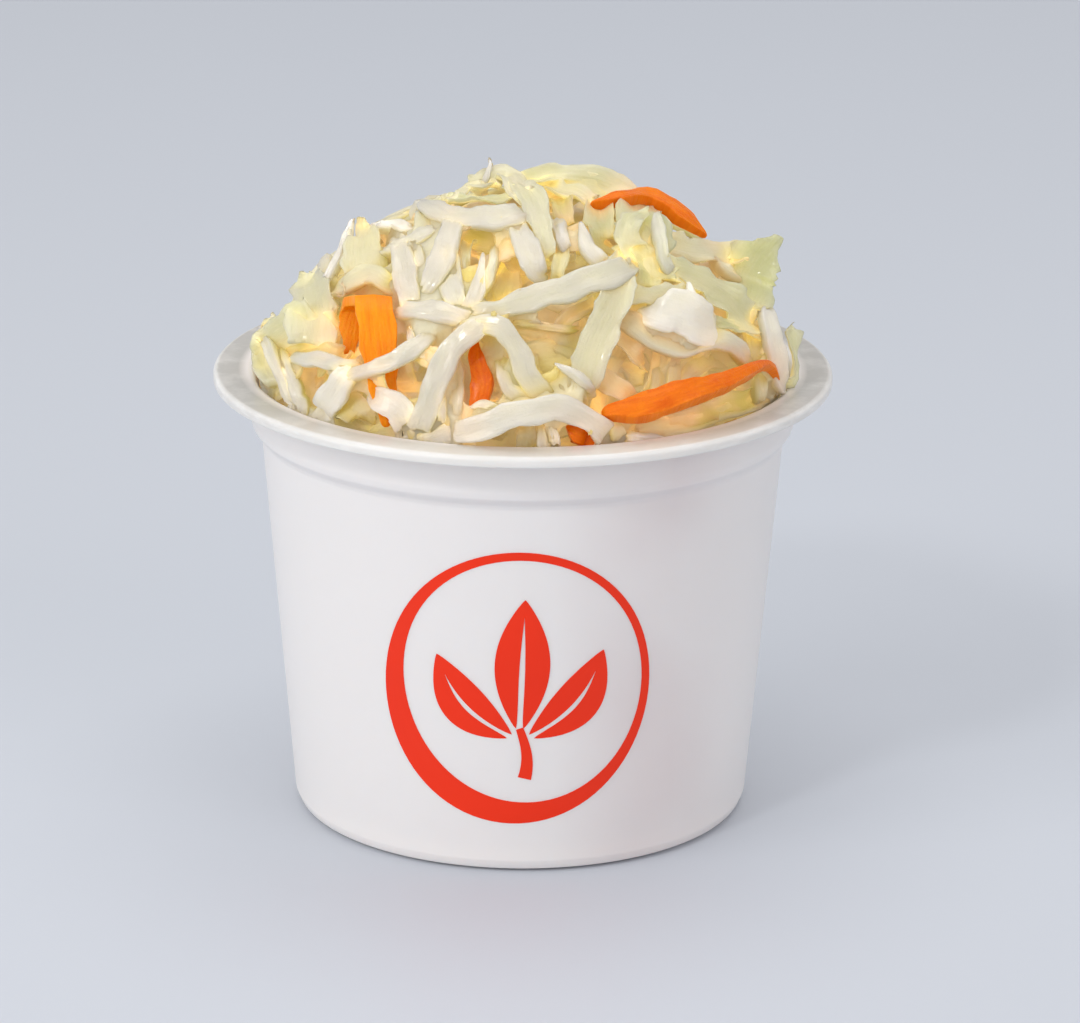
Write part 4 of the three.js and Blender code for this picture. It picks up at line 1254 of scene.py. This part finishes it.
        [1.8, 2.8, 2.2], soak=-0.1, face=0.8),
    "thin_left": rib(
        [(-31, 3, 1.4), (-30.1, 0, 1.7), (-28.8, -3, 1.4), (-27.9, -5.4, 0.8)],
        [1.1, 1.5, 1.6, 1.4], soak=-0.1),
    "thin_inner": rib(
        [(-28.8, 0.6, 0.8), (-27.4, -3, 1), (-26.6, -6, 0.6)],
        [1.2, 1.8, 1.6], green=0.0, soak=0.2),
    "angle_top": rib([(-27, 0.4, 1.2), (-24, 0.2, 1.8), (-20.4, -0.9, 2.2)], [1.2, 2, 2.2], soak=0.2),
    "angle_low": rib([(-21, -0.9, 2.6), (-22.5, -3, 2.2), (-24.7, -6.6, 1)], [2.2, 3.5, 2], green=-0.7),
    "low_tan": leaf([(-21.8, -4.2, 0.2), (-19.8, -6, 0.2)], [3.2, 3.6], green=0.1, soak=0.2),
    "strand": rib(
        [(-20.8, -1.5, 2.4), (-17, -0.3, 4), (-14.4, 1.2, 4.2), (-12, 2.9, 2.8)],
        [1.7, 1.8, 2.2, 1.8], soak=0.15),
}

rib_bar = bar_template(24, 42, (0.75, 0.55))
leaf_bar = bar_template(28, 46, (1.0, 0.35))
ribs = new_heap()
leaves = new_heap()
for number, spec in enumerate(FRONT.values()):
    look = spec["look"]
    heap, bar = (ribs, rib_bar) if look is RIB else (leaves, leaf_bar)
    line = front_line(spec["through"], spec["wide"], bar[1], spec["face"])
    lay_strip(heap, bar, line, spec["wide"], look["thick"], look, number, spec["hue"])
print(len(FRONT), "shreds at the front")

# %% [markdown]
# ## The shreds of the sides and the back
#
# The heap is as full all round. A spiral of spots, each a golden angle further on, covers the
# mound evenly without rows, and each spot gets a shred of a drawn kind, width, heading and bend.

# %% The larger shreds all round
FILL_SPOTS = 68
GOLDEN = math.pi * (3 - math.sqrt(5))
WELL_BEHIND = 0.3  # a spot that faces away by more than this is hidden from the front
SKYLINE_ARCH = 0.4  # any nearer, round the skyline, shreds arch less
IN_FRONT = -0.25  # below this a spot shows at the front, where the larger shreds are listed
TUCK = -0.6
FULL_WIDTH = 2.4  # from this width on, a shred has its full thickness
FILL_SEED = 41
HUE_SEED = 5
FIRST_FILL = 100  # numbers after those of the front
fill_rib_bar = bar_template(8, 9, (0.45, 0.35))
fill_leaf_bar = bar_template(8, 9, (0.9, 0.5))
low_ribs, low_leaves = new_heap(), new_heap()


def facing_away(spot):
    """From -1, where the mound faces the eye, to 1, where it faces away."""
    return on_mound(spot, 0)[1].dot(SIGHT)


def lay_fill(heaps, spot, draw, number, lift, arch, wide, turn, lie, is_rib):
    look = RIB if is_rib else LEAF
    heap = heaps[0] if is_rib else heaps[1]
    bar = fill_rib_bar if is_rib else fill_leaf_bar
    line = mound_line(spot, bar[1], lift=lift, arch=arch, wide=wide, **lie)
    thick = look["thick"] * (0.6 + 0.4 * min(1, wide / FULL_WIDTH))
    green = max(0.0, draw(-0.1, 0.4)) if is_rib else draw(0.1, 0.9)
    lay_strip(heap, bar, line, (wide, wide), thick, look, number, (green, 0), turn)


draw = draws_from(FILL_SEED)
hue_draw = draws_from(HUE_SEED)
for n in range(FILL_SPOTS):
    spot = spot_at(n * GOLDEN, mixed(0.1, 0.99, (n + 0.5) / FILL_SPOTS))
    is_rib = draw(0, 1) < 0.55
    wide = draw(1.7, 2.9) if is_rib else draw(2.6, 4.4)
    turn = draw(-0.9, 0.9)
    lie = {"heading": draw(0, math.pi), "length": draw(9, 22), "bow": draw(-2.5, 2.5)}
    away = facing_away(spot)
    arch = draw(1.2, 3) * (1 if away > WELL_BEHIND else SKYLINE_ARCH)
    if away >= IN_FRONT:
        number = FIRST_FILL + n
        lay_fill((ribs, leaves), spot, hue_draw, number, TUCK, arch, wide, turn, lie, is_rib)
print("larger shreds all round:", FILL_SPOTS, "spots")

# %% The smaller ones between and below them
SMALL_SPOTS = 400
SMALL_SEED = 7
FIRST_SMALL = 200
# Those low shreds also get a stronger painted glow.
COATED = -2.7  # shreds of the front that lie deeper than this are coated with dressing
draw = draws_from(SMALL_SEED)
for n in range(SMALL_SPOTS):
    spot = spot_at(n * GOLDEN + 0.4, mixed(0.01, 0.995, ((n + 0.5) / SMALL_SPOTS)))
    is_rib = draw(0, 1) < 0.6
    wide = draw(1.5, 2.8) if is_rib else draw(2.2, 4.4)
    lie = {"heading": draw(0, math.pi), "length": draw(8, 21), "bow": draw(-2.5, 2.5)}
    seen = facing_away(spot) < IN_FRONT
    lift = draw(-3.4, -1.7) if seen else draw(-3.2, -1.3)
    heaps = (low_ribs, low_leaves) if seen and lift < COATED else (ribs, leaves)
    arch = draw(0.2, 0.9) if seen else draw(0.3, 1.4)
    lay_fill(heaps, spot, draw, FIRST_SMALL + n, lift, arch, wide, draw(-1.2, 1.2), lie, is_rib)
print("smaller shreds:", SMALL_SPOTS)

# %% [markdown]
# ## How enclosed each point lies
#
# Light that gets in between pale moist shreds is scattered many times before it comes out, and
# each time it loses some blue. So what lies deep or hidden in a heap of cabbage looks yellow
# rather than grey. Rays from every point tell how many directions are blocked nearby, and the
# share is added to its `tone` and its `shade`. Light blurs such differences, so every share is
# first shared out between neighbouring points, round by round. The finish paints that light into
# the surface: the enclosed flesh gets a yellower colour, painted shade, and a faint amber glow,
# painted light.

# %% Rays from every point
WAYS = 26
REACH = 14
LEAST_RISE = -0.35  # no light comes from further down than this
LEAST_FACING = 0.2  # nor from so far to the side
RAY_START = 0.1
ROUNDS = 12


def spread_ways():
    ways = []
    for n in range(WAYS):
        rise = 1 - 2 * (n + 0.5) / WAYS
        level = math.sqrt(1 - rise * rise)
        ways.append(Vector((level * math.cos(n * GOLDEN), level * math.sin(n * GOLDEN), rise)))
    return [way for way in ways if way.z > LEAST_RISE]


def softened(shape, values, rounds):
    """Each point's value shared out with its neighbours, round by round."""
    pairs = np.array([[vertex.index for vertex in edge.verts] for edge in shape.edges])
    ones = np.bincount(pairs.ravel(), minlength=len(values))
    for step in range(rounds):
        shared = np.bincount(pairs[:, 0], values[pairs[:, 1]], len(values))
        shared += np.bincount(pairs[:, 1], values[pairs[:, 0]], len(values))
        values = 0.5 * values + 0.5 * shared / ones
    return values


def note_enclosure(shapes):
    places, faces = [], []
    for shape in shapes:
        first = len(places)
        shape.verts.index_update()
        shape.normal_update()
        places += [vertex.co.copy() for vertex in shape.verts]
        faces += [[first + vertex.index for vertex in face.verts] for face in shape.faces]
    tree = BVHTree.FromPolygons(places, faces)
    ways = spread_ways()
    for shape in shapes:
        tone_note, shade_note = note(shape, "tone"), note(shape, "shade")
        shares = []
        for vertex in shape.verts:
            start = vertex.co + vertex.normal * RAY_START
            open_ways = [way for way in ways if way.dot(vertex.normal) > LEAST_FACING]
            blocked = sum(tree.ray_cast(start, way, REACH)[0] is not None for way in open_ways)
            shares.append(blocked / max(1, len(open_ways)))
        for vertex, share in zip(shape.verts, softened(shape, np.array(shares), ROUNDS)):
            tone = vertex[tone_note]
            vertex[tone_note] = (tone[0], tone[1] + share, tone[2])
            vertex[shade_note] += share
    print("points that look for light:", len(places))


# %% [markdown]
# ## The dressing
#
# Dressing clings between the shreds and bridges the narrow gaps with soft fillets, while wide gaps
# stay open. The same happens when everything is grown by a millimetre, so that narrow gaps close,
# is turned into one skin, and is shrunk again by a little more: the shreds come out of it, and
# what closed stays closed. The skin is a voxel remesh, cut off level inside the cup.

# %% Grow, wrap, shrink
FILM_SHRINK = 0.9
FILM_CELL = 0.5
FILM_FOOT = CUP_H - 6
RIB_REACH = 0.6
LOW_REACH = 1.1
SHRINK_STEPS = 3


def moved_out(shape, distance):
    shape.normal_update()
    for vertex in shape.verts:
        vertex.co += vertex.normal * distance


def wrapped(shape, cell):
    """One closed skin round everything in the shape."""
    mesh = as_mesh("skin", shape)
    carrier = put_in_scene("skin", mesh)
    skin = carrier.modifiers.new("skin", "REMESH")
    skin.mode = "VOXEL"
    skin.voxel_size = cell
    wrap = bmesh.new()
    wrap.from_object(carrier, bpy.context.evaluated_depsgraph_get())
    bpy.data.objects.remove(carrier)
    bpy.data.meshes.remove(mesh)
    return wrap


def dressing_over(shapes):
    grown = bmesh.new()
    for shape, reach in shapes:
        part = shape.copy()
        moved_out(part, reach)
        add_shape(grown, part)
    film = wrapped(grown, FILM_CELL)
    for step in range(SHRINK_STEPS):
        moved_out(film, -FILM_SHRINK / SHRINK_STEPS)
        bmesh.ops.smooth_vert(
            film, verts=film.verts, factor=0.3, use_axis_x=True, use_axis_y=True, use_axis_z=True,
        )
    bmesh.ops.bisect_plane(
        film, geom=[*film.verts, *film.edges, *film.faces],
        plane_co=(0, 0, FILM_FOOT), plane_no=(0, 0, -1), clear_outer=True,
    )
    bmesh.ops.holes_fill(film, edges=[edge for edge in film.edges if edge.is_boundary])
    bmesh.ops.triangulate(film, faces=[face for face in film.faces if len(face.verts) > 4])
    return film


# %% Note how deep the dressing lies
FILM_GREEN = 0.2
DEPTH_SHARE = 0.2
DEPTH_FROM = 0.6
DEPTH_MOST = 2.4


def depth_of(place):
    """How far below the mound's surface a place lies."""
    return MOUND_R * (1 - over(place - MOUND_CENTRE, radii_at(0)).length)


lower = [(shape, LOW_REACH) for shape in (low_ribs, low_leaves, packed)]
film = add_notes(dressing_over([(ribs, RIB_REACH), *lower]))
way_note, tone_note, shade_note = (note(film, name) for name in ("way", "tone", "shade"))
for vertex in film.verts:
    # Deeper dressing gets more in its tone and its shade: yellower, partly for the dressing pooled
    # there and partly as painted shade, and a stronger painted glow.
    depth = DEPTH_SHARE * min(DEPTH_MOST, max(0.0, depth_of(vertex.co) - DEPTH_FROM))
    vertex[way_note] = vertex.co
    vertex[tone_note] = (FILM_GREEN, depth, peach(vertex.co))
    vertex[shade_note] = depth
note_enclosure([ribs, leaves, film, low_ribs, low_leaves, *carrot_strips.values()])

# %% Finish the heap
FILM_TINTS = (tint(230, 222, 194), tint(222, 213, 164), 0.2)
film_finish = cabbage_finish("dressing", *FILM_TINTS, amber=1.0, glow=0.3)
heap_pieces = {
    "dressing": (film, film_finish),
    "slaw_core": (packed, core_finish),
    "cabbage_ribs": (ribs, rib_finish),
    "cabbage_leaves": (leaves, leaf_finish),
    "low_ribs": (low_ribs, low_rib_finish),
    "low_leaves": (low_leaves, low_leaf_finish),
}
for name, (shape, finish) in heap_pieces.items():
    finish_piece(name, shape, finish, ["coleslaw"])
for name, strip in carrot_strips.items():
    finish_piece(name + "_strip", strip, carrot, [name])

# %% [markdown]
# ## The room
#
# A plain pale table that runs out of view, a broad soft lamp at the left like a window, and soft
# light from all round, which leaves a faint shadow at the right. A small lamp near the window
# makes the glints that show how moist the salad is.

# %% Table
TABLE_SIZE = 6000

table = bmesh.new()
bmesh.ops.create_grid(table, x_segments=1, y_segments=1, size=TABLE_SIZE * MM / 2)
table_mesh = as_mesh("table", table)
table_top = put_in_scene("table", table_mesh)
table_look = Finish("table", Roughness=0.55, Base_Color=tint(203, 208, 216))
table_mesh.materials.append(table_look.material)

# %% Light
LAMPS = {  # each lamp's place and aim, its width, its watts and its colour
    "window": ((-1050, -630, 495), (0, 0, 40), 780, 4.95, (1.0, 0.99, 0.975)),
    "glint": ((-260, -420, 460), (0, 0, 60), 90, 0.65, (1.0, 1.0, 1.0)),
    "overhead": ((50, 160, 900), (0, 30, 20), 900, 2.8, (1.0, 0.98, 0.96)),
    "bounce": ((620, -640, 420), (0, 0, 50), 700, 1.4, (1.0, 0.96, 0.96)),
}
ROOM_TINT = (0.95, 0.955, 0.985, 1)
ROOM_LIGHT = 0.58


def soft_lamp(name, place, aim, size, watts, colour):
    light = bpy.data.lights.new(name, "AREA")
    light.shape = "DISK"
    light.size = size * MM
    light.energy = watts
    light.color = colour
    lamp = put_in_scene(name, light)
    lamp.location = Vector(place) * MM
    lamp.rotation_mode = "QUATERNION"
    lamp.rotation_quaternion = (Vector(aim) - Vector(place)).to_track_quat("-Z", "Y")


for name, lamp in LAMPS.items():
    soft_lamp(name, *lamp)
print("lamps:", ", ".join(LAMPS))
world = bpy.data.worlds.new("room")
world.use_nodes = True
room_light = world.node_tree.nodes["Background"]
room_light.inputs["Color"].default_value = ROOM_TINT
room_light.inputs["Strength"].default_value = ROOM_LIGHT
bpy.context.scene.world = world
bpy.context.scene.view_settings.view_transform = "Standard"
